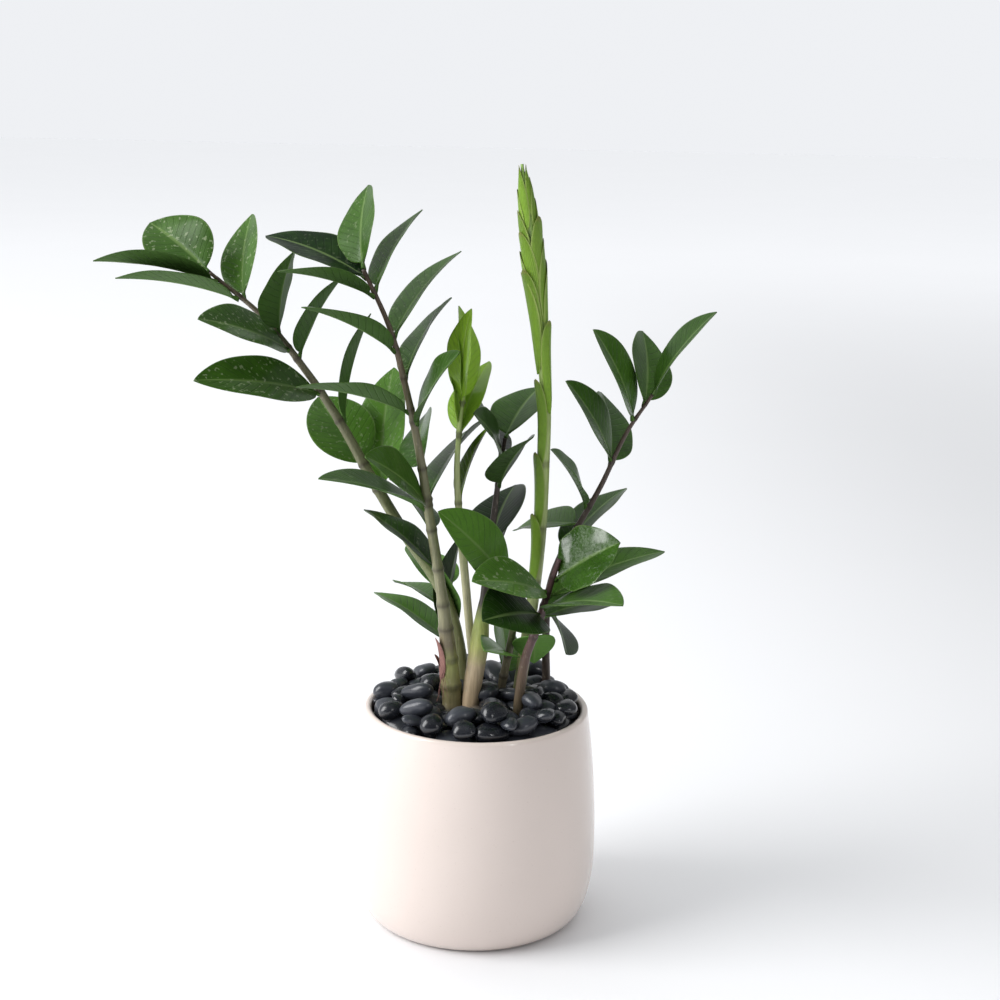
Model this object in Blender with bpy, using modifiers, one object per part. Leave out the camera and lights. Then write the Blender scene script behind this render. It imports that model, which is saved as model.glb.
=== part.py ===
"""Potted ZZ plant (Zamioculcas zamiifolia): a glazed round-bellied pot holding soil, a layer of
river pebbles, and nine fronds whose glossy leaflets stand along fleshy stems.

Metres, +Z up. The origin is the pot's axis at the surface it stands on. -Y is the front.
The pot and what is in it are turned or joined solids. A mature frond is a stem and one solid for
each leaflet, seated on the stem with a hairline gap. A young shoot, whose leaflets are still
wrapped round it, is one solid. Each frond is described by a row of points that its stem grows
through and a list of its leaflets: where on the stem, which way, how long, how wide, how rolled.
"""

import math

import bmesh
import bpy
import numpy as np
from mathutils import Matrix, Vector

# ------------------------------------------------------------------ driving dimensions, metres
POT_HEIGHT = 0.134
POT_BELLY_RADIUS = 0.075
POT_BELLY_HEIGHT = 0.046      # height of the widest ring above the foot
POT_FOOT_RADIUS = 0.058
POT_RIM_RADIUS = 0.068        # outside of the lip
POT_WALL = 0.0045
POT_FLOOR = 0.008
POT_BELLY_POWER = 2.3         # 2 is an ellipse, more is squarer
POT_STEPS = 40

SOIL_BELOW_RIM = 0.018        # from the lip down to the soil's surface
SOIL_TOP = POT_HEIGHT - SOIL_BELOW_RIM
BED_THICKNESS = 0.008         # packed fine stones between the soil and the pebbles
PEBBLE_LENGTH = 0.0240        # a middling pebble, long axis
PEBBLE_WIDTH = 0.0185
PEBBLE_HEIGHT = 0.0140
PEBBLE_RIM_GAP = 0.0010       # between the outer ring of pebbles and the wall
PEBBLE_HEAP = 0.008           # how much higher the heap is in the middle

LEAF_THICKNESS = 0.0010
LEAF_SCALE = 1.0              # all leaflets together; the fronds spread and rise in step
LEAF_END_WIDTH = 0.0014       # width of the little stalk and of the blunt tip
LEAF_STALK = 0.004            # the little stalk between stem and blade
LEAF_FOLD = 14.0              # degrees, each half blade above flat
LEAF_ARCH = 0.05              # rise of the blade's middle, a share of its length
STEM_SCALE = 1.0              # all stem radii together; thicker stems stand further apart
STEM_ROOT_DEPTH = 0.034       # how far a stem reaches below the soil's surface
PLANTED_AT = 0.116            # soil height that the fronds' points below are given for

CLEARANCE = 0.0003            # between pieces that touch on the real plant
LEAF_GAP = 0.0003             # between a leaflet's base and its stem

# ------------------------------------------------------------------ fronds
# points: (x, y, z) in millimetres that the stem grows through, from the pebbles to its tip.
# girth: (share of the length, radius in mm).
# leaflets: (share of the length, heading, rise, length mm, width mm, roll). Heading is degrees
# about +Z from +X, so 90 points away from the front. Rise is degrees above level. Roll turns the
# blade about its own length.
FRONDS = {
    "arching": {
        "points": [(-5, 8, 123), (-8, 9, 146), (-15, 11, 182), (-26, 14, 208), (-46, 18, 236),
                   (-66, 22, 268), (-87, 26, 304), (-107, 29, 333), (-133, 30, 365),
                   (-164, 28, 391)],
        "girth": [(0, 4.4), (0.2, 4.0), (0.5, 3.3), (0.8, 2.0), (1, 1.0)],
        "leaflets": [
            (1.00, 140, 25, 60, 40, -35),
            (0.97, 195, 10, 76, 36, 20),
            (0.92, 90, 50, 62, 34, -45),
            (0.92, 195, 10, 76, 34, 15),
            (0.79, 225, 20, 72, 36, -35),
            (0.83, 295, 60, 60, 34, 40),
            (0.69, 215, 10, 86, 38, -35),
            (0.77, 340, 60, 60, 34, 5),
            (0.62, 25, 75, 70, 32, -30),
            (0.52, 130, 35, 66, 40, -25),
            (0.47, 85, 55, 86, 40, -30),
        ],
    },
    "tall": {
        "points": [(-14, -12, 126), (-15, -12, 147), (-18, -14, 179), (-23, -17, 217),
                   (-30, -20, 259), (-36, -23, 297), (-44, -26, 335), (-53, -28, 368),
                   (-68, -30, 401)],
        "girth": [(0, 5.8), (0.08, 5.9), (0.18, 4.8), (0.3, 3.2), (0.5, 2.8), (0.75, 1.9),
                  (1, 1.1)],
        "leaflets": [
            (1.00, 90, 50, 58, 34, -50),
            (0.98, 150, 15, 74, 34, -15),
            (0.95, 55, 45, 62, 34, -30),
            (0.94, 210, 15, 62, 32, 10),
            (0.82, 215, 25, 68, 34, 5),
            (0.85, 55, 35, 78, 36, -25),
            (0.76, 65, 35, 72, 34, -40),
            (0.66, 310, 50, 64, 34, 50),
            (0.69, 205, 15, 72, 34, 15),
            (0.49, 230, 35, 64, 36, -45),
            (0.48, 215, 20, 78, 34, -10),
            (0.57, 90, 20, 64, 34, -55),
            (0.50, 65, 25, 84, 36, -40),
            (0.43, 120, 20, 60, 32, 35),
            (0.34, 150, 30, 62, 34, 10),
        ],
    },
    "dark": {
        "points": [(-3, -16, 128), (-3, -14, 144), (1, -10, 175), (4, -4, 211), (8, 4, 249),
                   (11, 8, 276), (14, 10, 298)],
        "girth": [(0, 4.6), (0.15, 5.6), (0.28, 5.9), (0.36, 4.4), (0.44, 2.4), (0.7, 2.0), (1, 1.2)],
        "leaflets": [
            (1.00, 65, 25, 56, 36, -10),
            (0.95, 110, 20, 60, 30, 50),
            (0.93, 245, 40, 52, 30, -60),
            (0.83, 295, 40, 60, 32, 25),
            (0.61, 75, 25, 64, 40, -25),
            (0.53, 75, 25, 56, 34, -40),
        ],
    },
    "leaning": {
        "points": [(43, 24, 121), (43, 24, 142), (42, 24, 171), (43, 22, 201), (50, 20, 225),
                   (61, 18, 246), (73, 16, 270), (86, 14, 301), (101, 12, 326)],
        "girth": [(0, 2.8), (0.3, 2.2), (0.6, 1.8), (1, 1.0)],
        "leaflets": [
            (0.96, 90, 45, 56, 36, 45),
            (1.00, 350, 55, 62, 36, 15),
            (0.91, 215, 60, 66, 34, -55),
            (0.78, 215, 55, 64, 34, -50),
            (0.77, 95, 35, 62, 36, 45),
            (0.63, 210, 55, 48, 32, -25),
            (0.48, 50, 25, 72, 34, -15),
            (0.58, 135, -15, 56, 36, -15),
            (0.31, 285, -20, 46, 34, -55),
        ],
    },
    "short": {
        "points": [(25, -22, 130), (26, -22, 148), (29, -24, 172), (35, -26, 191),
                   (39, -28, 207), (43, -30, 221), (47, -31, 235)],
        "girth": [(0, 3.1), (0.3, 2.9), (0.6, 2.3), (1, 1.4)],
        "leaflets": [
            (0.86, 340, 35, 50, 42, 50),
            (0.76, 25, 15, 82, 36, 5),
            (0.70, 310, 15, 70, 38, 10),
            (0.64, 35, 0, 62, 36, 5),
            (0.66, 235, 10, 60, 42, -35),
            (0.80, 215, 15, 56, 38, -25),
            (0.56, 90, -50, 36, 26, -5),
        ],
    },
}

# Shoots whose leaflets are still part of the growing tip: the same, but one solid each.
SHOOTS = {
    "young_shoot": {
        "points": [(2, 2, 125), (0, 1, 142), (-4, -1, 174), (-8, -3, 212), (-12, -5, 250),
                   (-14, -7, 281), (-13, -8, 305), (-11, -9, 326)],
        "girth": [(0, 2.6), (0.5, 2.5), (0.75, 1.9), (1, 1.1)],
        "leaflets": [
            (0.98, 100, 70, 58, 28, 55),
            (0.98, 330, 85, 56, 28, 60),
            (0.89, 110, 60, 44, 26, 50),
            (0.88, 65, 45, 56, 28, -20),
            (0.68, 55, 55, 52, 28, -40),
        ],
    },
    "new_shoot": {
        "points": [(25, 6, 124), (26, 6, 141), (30, 6, 174), (33, 5, 200), (36, 3, 238),
                   (37, 0, 281), (37, -2, 324), (33, -4, 365), (27, -6, 412), (20, -8, 460)],
        "girth": [(0, 3.9), (0.4, 3.6), (0.62, 3.2), (0.72, 5.0), (0.82, 6.6), (0.9, 6.2),
                  (0.96, 4.2), (1, 1.2)],
        "leaflets": [
            (0.74, 350, 85, 62, 14, -30),
            (0.66, 190, 85, 60, 14, 30),
            (0.58, 350, 85, 56, 15, -40),
            (0.48, 180, 85, 56, 14, 40),
            (0.36, 170, 85, 52, 14, 40),
            (0.26, 170, 85, 48, 13, 30),
        ],
    },
    "centre_sprout": {
        "points": [(15, 1, 126), (15, 1, 143), (18, -2, 163), (21, -6, 183), (21, -10, 204),
                   (16, -14, 219)],
        "girth": [(0, 2.7), (0.5, 2.4), (1, 1.5)],
        "leaflets": [
            (0.94, 215, 45, 72, 38, -60),
            (0.43, 250, 20, 44, 26, -25),
            (0.28, 95, 30, 50, 30, 50),
        ],
    },
    "back_sprout": {
        "points": [(-12, 26, 123), (-14, 26, 140), (-18, 26, 163), (-23, 27, 185),
                   (-26, 28, 205)],
        "girth": [(0, 2.6), (0.5, 2.2), (1, 1.3)],
        "leaflets": [
            (0.90, 110, 20, 50, 38, 20),
            (0.60, 250, 75, 46, 30, -45),
            (0.50, 145, 20, 64, 34, 10),
            (0.79, 130, 5, 48, 32, 15),
            (0.58, 45, 80, 62, 32, -65),
        ],
    },
}

# Pebbles lie in rings: (ring radius as a share of the room, count, height above the bed, size).
PEBBLE_RINGS = [(0.93, 14, 0.40, 0.98), (0.64, 10, 0.44, 1.00), (0.36, 6, 0.42, 0.95),
                (0.10, 2, 0.40, 0.90), (0.80, 8, 1.02, 0.86), (0.38, 4, 0.98, 0.84)]
GOLDEN_ANGLE = math.radians(137.508)

COLOURS = {
    "glaze": ((0.52, 0.40, 0.35, 1.0), 0.22),
    "soil": ((0.07, 0.05, 0.035, 1.0), 0.95),
    "pebble": ((0.035, 0.04, 0.05, 1.0), 0.25),
    "leaf": ((0.05, 0.14, 0.035, 1.0), 0.25),
    "young_leaf": ((0.28, 0.42, 0.06, 1.0), 0.30),
    "new_leaf": ((0.30, 0.42, 0.12, 1.0), 0.35),
    "stem": ((0.16, 0.11, 0.07, 1.0), 0.45),
    "purple_stem": ((0.07, 0.045, 0.045, 1.0), 0.40),
}


# ------------------------------------------------------------------ scene helpers
def clear_scene():
    for thing in list(bpy.data.objects):
        bpy.data.objects.remove(thing, do_unlink=True)


def new_collection(name):
    group = bpy.data.collections.new(name)
    bpy.context.scene.collection.children.link(group)
    return group


def make_material(name):
    colour, roughness = COLOURS[name]
    material = bpy.data.materials.new(name)
    material.use_nodes = True
    shader = material.node_tree.nodes["Principled BSDF"]
    shader.inputs["Base Color"].default_value = colour
    shader.inputs["Roughness"].default_value = roughness
    shader.inputs["Metallic"].default_value = 0.0
    material.diffuse_color = colour
    return material


def place_mesh(name, mesh, group, material=None):
    piece = bpy.data.objects.new(name, mesh)
    group.objects.link(piece)
    if material:
        mesh.materials.append(material)
    return piece


def as_cutter(piece, cutters):
    for group in list(piece.users_collection):
        group.objects.unlink(piece)
    cutters.objects.link(piece)
    piece.hide_render = True
    piece.display_type = "WIRE"
    return piece


def boolean(piece, other, operation, self_join=False):
    step = piece.modifiers.new(operation.lower(), "BOOLEAN")
    step.operation = operation
    step.solver = "EXACT"
    step.object = other
    step.use_self = self_join
    return step


def settle(piece):
    """Apply the modifiers and keep the one outer shell, so that closed-in chinks fill."""
    graph = bpy.context.evaluated_depsgraph_get()
    mesh = bpy.data.meshes.new_from_object(piece.evaluated_get(graph))
    piece.modifiers.clear()
    work = bmesh.new()
    work.from_mesh(mesh)
    work.verts.ensure_lookup_table()
    seen = set()
    shells = []
    for seed in work.verts:
        if seed in seen:
            continue
        shell, front = [], [seed]
        seen.add(seed)
        while front:
            vert = front.pop()
            shell.append(vert)
            for edge in vert.link_edges:
                other = edge.other_vert(vert)
                if other not in seen:
                    seen.add(other)
                    front.append(other)
        shells.append(shell)
    shells.sort(key=len)
    for shell in shells[:-1]:
        bmesh.ops.delete(work, geom=shell, context="VERTS")
    work.to_mesh(mesh)
    work.free()
    piece.data = mesh


# ------------------------------------------------------------------ growing lines
def grown(points):
    """A frond's points in metres, on this soil, spread with its leaflets and clear of thick stems."""
    apart = Vector((points[0][0], points[0][1], 0)) * 0.001 * (STEM_SCALE - 1)
    planted = Vector((0, 0, PLANTED_AT))
    soil = Vector((0, 0, SOIL_TOP))
    return [soil + (Vector(p) * 0.001 - planted) * LEAF_SCALE + apart for p in points]


def smooth_line(points, steps=12):
    """Points along a Catmull-Rom line through the given ones, in metres."""
    given = grown(points)
    ends = [2 * given[0] - given[1]] + given + [2 * given[-1] - given[-2]]
    line = []
    for k in range(len(given) - 1):
        a, b, c, d = ends[k:k + 4]
        for j in range(steps):
            u = j / steps
            line.append(0.5 * (2 * b + (c - a) * u + (2 * a - 5 * b + 4 * c - d) * u * u
                               + (3 * b - a - 3 * c + d) * u ** 3))
    line.append(given[-1])
    return line


def line_lengths(line):
    total = [0.0]
    for a, b in zip(line, line[1:]):
        total.append(total[-1] + (b - a).length)
    return total


def along(line, share):
    """The point at this share of the line's length."""
    total = line_lengths(line)
    want = share * total[-1]
    k = min(max(int(np.searchsorted(total, want)), 1), len(line) - 1)
    u = (want - total[k - 1]) / (total[k] - total[k - 1])
    return line[k - 1].lerp(line[k], u)


def girth_at(girth, share):
    radius = np.interp(share, [g[0] for g in girth], [g[1] for g in girth])
    return float(radius) * 0.001 * STEM_SCALE


def stem_curve(name, frond, extra=0.0, count=17):
    """A round stem as a curve with a radius at each point, with its buried end."""
    line = smooth_line(frond["points"])
    foot = line[0].copy()
    foot.z = SOIL_TOP - STEM_ROOT_DEPTH - extra
    spots = [(foot, girth_at(frond["girth"], 0) * 0.8 + extra)]
    for k in range(count):
        share = k / (count - 1)
        spots.append((along(line, share), girth_at(frond["girth"], share) + extra))
    data = bpy.data.curves.new(name, "CURVE")
    data.dimensions = "3D"
    data.bevel_depth = 1.0
    data.bevel_resolution = 2
    data.use_fill_caps = True
    spline = data.splines.new("POLY")
    spline.points.add(len(spots) - 1)
    for point, (place, radius) in zip(spline.points, spots):
        point.co = (*place, 1.0)
        point.radius = radius
    return bpy.data.objects.new(name, data)


def curve_to_mesh(piece, group):
    """The curve's closed mesh as a new object, its caps welded on; the curve is removed."""
    graph = bpy.context.evaluated_depsgraph_get()
    mesh = bpy.data.meshes.new_from_object(piece.evaluated_get(graph))
    work = bmesh.new()
    work.from_mesh(mesh)
    bmesh.ops.remove_doubles(work, verts=work.verts, dist=0.00001)
    bmesh.ops.recalc_face_normals(work, faces=work.faces)
    work.to_mesh(mesh)
    work.free()
    name = piece.name
    solid = bpy.data.objects.new(name + "_solid", mesh)
    solid.matrix_world = piece.matrix_world.copy()
    group.objects.link(solid)
    bpy.data.objects.remove(piece, do_unlink=True)
    solid.name = name
    return solid


# ------------------------------------------------------------------ leaflets
def leaf_half_width(u, length, width):
    """Half width at a share u of the length: a stalk, then an ellipse drawn to a point."""
    v = max(u - LEAF_STALK / length, 0.0) / (1 - LEAF_STALK / length)
    v = v ** 0.95
    return 0.5 * max(width * (4 * v * (1 - v)) ** 0.72, LEAF_END_WIDTH)


def leaf_mesh(name, length, width, stations=6):
    """A blade folded up along its midrib and arched along its length, lying along +X."""
    work = bmesh.new()
    bmesh.ops.create_grid(work, x_segments=stations, y_segments=2, size=1.0)
    rise = math.tan(math.radians(LEAF_FOLD))
    for vert in work.verts:
        u = 0.5 - 0.5 * math.cos(math.pi * (vert.co.x + 1) / 2)
        y = vert.co.y * leaf_half_width(u, length, width)
        arch = LEAF_ARCH * length * 4 * u * (1 - u)
        vert.co = Vector((u * length, y, abs(y) * rise + arch))
    bmesh.ops.recalc_face_normals(work, faces=work.faces)
    mesh = bpy.data.meshes.new(name)
    work.to_mesh(mesh)
    work.free()
    return mesh


def leaf_frame(heading, rise, roll):
    """Axes of a blade: along it, across it, and out of its upper face."""
    head, up = math.radians(heading), math.radians(rise)
    ahead = Vector((math.cos(up) * math.cos(head), math.cos(up) * math.sin(head), math.sin(up)))
    upper = (Vector((0, 0, 1)) - ahead * ahead.z).normalized()
    side = ahead.cross(upper)
    turn = math.radians(roll)
    face = upper * math.cos(turn) + side * math.sin(turn)
    return ahead, face.cross(ahead), face


def add_leaflet(name, line, girth, row, group, gap):
    """One leaflet, its base a gap clear of the stem's side, or inside the stem for gap None."""
    share, heading, rise, length, width, roll = row
    ahead, across, face = leaf_frame(heading, rise, roll)
    spot = along(line, share)
    tangent = (along(line, min(share + 0.01, 1)) - along(line, max(share - 0.01, 0))).normalized()
    corner = 0.5 * math.hypot(LEAF_THICKNESS, LEAF_END_WIDTH)
    beside, in_line = ahead.cross(tangent).length, abs(ahead.dot(tangent))
    if gap is None:
        clear = 0.0
    elif share >= 0.995:
        over = (gap + corner * beside) / max(in_line, 0.35)
        clear = min(over, (girth_at(girth, share) + gap) * beside + gap)
    else:
        clear = (girth_at(girth, share) + gap + corner * in_line) / max(beside, 0.35)
    full = length * 0.001 * LEAF_SCALE - clear
    mesh = leaf_mesh(name, full, width * 0.001 * LEAF_SCALE)
    leaf = bpy.data.objects.new(name, mesh)
    group.objects.link(leaf)
    basis = Matrix((ahead, across, face)).transposed()
    leaf.matrix_world = Matrix.Translation(spot + ahead * clear) @ basis.to_4x4()
    skin = leaf.modifiers.new("blade", "SOLIDIFY")
    skin.thickness = LEAF_THICKNESS
    skin.offset = 0.0
    skin.use_even_offset = True
    return leaf


# ------------------------------------------------------------------ pot, soil and pebbles
def pot_outer_radius(z):
    """Radius of the pot's outside at height z."""
    if z <= POT_BELLY_HEIGHT:
        u = 1 - z / POT_BELLY_HEIGHT
        bulge = (1 - u ** POT_BELLY_POWER) ** (1 / POT_BELLY_POWER)
        return POT_FOOT_RADIUS + (POT_BELLY_RADIUS - POT_FOOT_RADIUS) * bulge
    u = (z - POT_BELLY_HEIGHT) / (POT_HEIGHT - POT_BELLY_HEIGHT)
    return POT_BELLY_RADIUS - (POT_BELLY_RADIUS - POT_RIM_RADIUS) * u * u


def pot_inner_radius(z):
    return pot_outer_radius(z) - POT_WALL


def turned(name, profile, steps, group, material):
    """A solid of revolution from (radius, height) points that run down its outer side."""
    mesh = bpy.data.meshes.new(name)
    points = [(r, 0, z) for r, z in profile]
    mesh.from_pydata(points, [(k, k + 1) for k in range(len(points) - 1)], [])
    piece = place_mesh(name, mesh, group, material)
    screw = piece.modifiers.new("turn", "SCREW")
    screw.steps = steps
    screw.render_steps = steps
    screw.use_merge_vertices = True
    screw.merge_threshold = 0.00005
    screw.use_smooth_shade = True
    return piece


def pot_inside():
    """The pot's inner wall, floor to lip, as (radius, height) points."""
    top = POT_HEIGHT - POT_WALL / 2
    start = POT_FLOOR + 0.007
    heights = [start + (top - start) * k / 7 for k in range(8)]
    wall = [(pot_inner_radius(z), z) for z in heights]
    return [(pot_inner_radius(start) - 0.008, POT_FLOOR)] + wall


def inside_radius(z):
    """Radius of the inner wall at height z, between its profile's points."""
    wall = pot_inside()
    return float(np.interp(z, [p[1] for p in wall], [p[0] for p in wall]))


def build_pot(group, material):
    lip = POT_WALL / 2
    top = POT_HEIGHT - lip
    centre = pot_outer_radius(top) - lip
    profile = [(0.0, POT_FLOOR)] + pot_inside()
    for k in range(1, 5):
        angle = math.pi - math.pi * k / 5
        profile.append((centre + lip * math.cos(angle), top + lip * math.sin(angle)))
    down = [top - (top - POT_BELLY_HEIGHT) * k / 5 for k in range(6)]
    profile += [(pot_outer_radius(z), z) for z in down]
    for k in range(1, 6):
        z = POT_BELLY_HEIGHT * (1 - math.sin(math.pi / 2 * k / 5))
        profile.append((pot_outer_radius(max(z, 0.0)), max(z, 0.0)))
    profile.append((0.0, 0.0))
    return turned("pot", profile, POT_STEPS, group, material)


def build_soil(group, material):
    wall = [p for p in reversed(pot_inside()) if POT_FLOOR < p[1] < SOIL_TOP]
    profile = [(0.0, SOIL_TOP), (inside_radius(SOIL_TOP) - CLEARANCE, SOIL_TOP)]
    profile += [(r - CLEARANCE, z) for r, z in wall]
    foot = POT_FLOOR + CLEARANCE
    profile += [(inside_radius(foot) - 2 * CLEARANCE, foot), (0.0, foot)]
    return turned("soil", profile, POT_STEPS, group, material)


def bed_height(share):
    """Top of the bed under the pebbles at this share of its radius: a low dome."""
    return SOIL_TOP + CLEARANCE + BED_THICKNESS + PEBBLE_HEAP * (1 - share * share)


def pebble_places():
    """Centre, half sizes and turn of each pebble, ring by ring, each a little unlike the next."""
    places = []
    for ring, (share, count, lift, size) in enumerate(PEBBLE_RINGS):
        for k in range(count):
            n = len(places)
            wave = math.sin(n * GOLDEN_ANGLE * 3.7)
            other = math.sin(n * GOLDEN_ANGLE * 5.3 + 1)
            half = Vector((PEBBLE_LENGTH, PEBBLE_WIDTH, PEBBLE_HEIGHT)) * 0.5 * size
            half.x *= 1 + 0.16 * wave
            half.y *= 1 + 0.14 * other
            half.z *= 1 + 0.12 * wave * other
            z = bed_height(share) + half.z * (2 * lift - 0.2) + 0.0015 * other
            room = pot_inner_radius(z) - PEBBLE_RIM_GAP - half.x * 1.02
            angle = 2 * math.pi * k / count + ring * 0.7 + 0.10 * wave
            reach = share / 0.93 * room
            place = Vector((reach * math.cos(angle), reach * math.sin(angle), z))
            turn = Matrix.Rotation(angle + (1.3 + 0.9 * other), 3, "Z")
            turn = turn @ Matrix.Rotation(0.22 * other, 3, "Y") @ Matrix.Rotation(0.20 * wave, 3, "X")
            places.append((place, half, turn))
    return places


def build_pebbles(group, cutters, material):
    base = SOIL_TOP + CLEARANCE
    edge = bed_height(1)
    room = inside_radius(edge) - CLEARANCE
    profile = [(room * k / 5, bed_height(k / 5)) for k in range(6)]
    profile += [(inside_radius(base) - CLEARANCE, base), (0.0, base)]
    layer = turned("pebble_layer", profile, POT_STEPS, group, material)
    work = bmesh.new()
    for place, half, turn in pebble_places():
        stretch = Matrix.Diagonal((*half, 1.0))
        where = Matrix.Translation(place) @ turn.to_4x4() @ stretch
        bmesh.ops.create_icosphere(work, subdivisions=2, radius=1.0, matrix=where)
    mesh = bpy.data.meshes.new("pebbles")
    work.to_mesh(mesh)
    work.free()
    stones = as_cutter(place_mesh("pebbles", mesh, group), cutters)
    boolean(layer, stones, "UNION", self_join=True)
    return layer


# ------------------------------------------------------------------ the plant
def joined_shoot(name, frond, group, cutters, material):
    """A stem and the leaflets that still grow as part of it, joined into one solid."""
    line = smooth_line(frond["points"])
    curve = stem_curve(name, frond)
    group.objects.link(curve)
    bpy.context.view_layer.update()
    stem = curve_to_mesh(curve, group)
    stem.data.materials.clear()
    stem.data.materials.append(material)
    for k, row in enumerate(frond["leaflets"]):
        leaf = add_leaflet(f"{name}_blade_{k + 1}", line, frond["girth"], row, group, None)
        as_cutter(leaf, cutters)
        boolean(stem, leaf, "UNION")
    bpy.context.view_layer.update()
    settle(stem)
    return stem


def main():
    clear_scene()
    plant = new_collection("potted_zz_plant")
    cutters = new_collection("cutters")
    paint = {name: make_material(name) for name in COLOURS}

    build_pot(plant, paint["glaze"])
    soil = build_soil(plant, paint["soil"])
    layer = build_pebbles(plant, cutters, paint["pebble"])

    everything = {**FRONDS, **SHOOTS}
    for name, frond in everything.items():
        hole = stem_curve(f"{name}_hole", frond, extra=CLEARANCE)
        plant.objects.link(hole)
        bpy.context.view_layer.update()
        hole = as_cutter(curve_to_mesh(hole, plant), cutters)
        boolean(soil, hole, "DIFFERENCE")
        boolean(layer, hole, "DIFFERENCE")
    bpy.context.view_layer.update()
    settle(layer)

    for name, frond in FRONDS.items():
        line = smooth_line(frond["points"])
        stem = stem_curve(f"{name}_stem", frond)
        plant.objects.link(stem)
        tone = "purple_stem" if name in ("leaning", "short") else "stem"
        stem.data.materials.append(paint[tone])
        for k, row in enumerate(frond["leaflets"]):
            leaf = add_leaflet(f"{name}_leaflet_{k + 1:02d}", line, frond["girth"], row, plant,
                               LEAF_GAP)
            leaf.data.materials.append(paint["leaf"])
            leaf.parent = stem

    for name, frond in SHOOTS.items():
        tone = {"young_shoot": "young_leaf", "new_shoot": "new_leaf"}.get(name, "leaf")
        joined_shoot(name, frond, plant, cutters, paint[tone])
    bpy.context.view_layer.update()


main()
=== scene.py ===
"""The looks of the potted ZZ plant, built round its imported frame.

Laid out as an add-on: sizes and colours are properties, each group of pieces has an operator, and
one panel lists them. A mature leaflet takes its place from its solid in the frame. Stems and young
shoots repeat the points that the frame's own stems grow through. Metres, +Z up, -Y is the front.
"""

import math

import bpy
import numpy as np
from mathutils import Matrix, Vector


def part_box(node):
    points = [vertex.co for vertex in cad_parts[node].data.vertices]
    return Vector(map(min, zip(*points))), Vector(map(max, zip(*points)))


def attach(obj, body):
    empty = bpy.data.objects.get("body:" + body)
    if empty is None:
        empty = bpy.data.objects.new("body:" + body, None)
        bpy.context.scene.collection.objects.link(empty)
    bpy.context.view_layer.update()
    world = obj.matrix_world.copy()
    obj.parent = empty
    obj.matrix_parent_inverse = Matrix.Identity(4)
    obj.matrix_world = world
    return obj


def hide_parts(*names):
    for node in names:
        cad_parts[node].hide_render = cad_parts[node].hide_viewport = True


bl_info = {
    "name": "Potted ZZ Plant",
    "version": (1, 0, 0),
    "blender": (4, 5, 0),
    "location": "View3D > Sidebar > ZZ Plant",
    "description": "Builds a potted ZZ plant with its pot, pebbles, stems and leaflets",
    "category": "Add Mesh",
}

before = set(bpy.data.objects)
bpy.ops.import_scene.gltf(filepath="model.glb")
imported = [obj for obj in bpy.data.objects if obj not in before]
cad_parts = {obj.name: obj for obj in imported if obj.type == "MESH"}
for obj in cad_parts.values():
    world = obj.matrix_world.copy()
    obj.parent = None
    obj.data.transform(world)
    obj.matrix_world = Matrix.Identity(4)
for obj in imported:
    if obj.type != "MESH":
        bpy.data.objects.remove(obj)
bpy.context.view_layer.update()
POT_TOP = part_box("pot")[1].z
BELLY_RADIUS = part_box("pot")[1].x
BED_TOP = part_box("soil")[1].z

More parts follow.
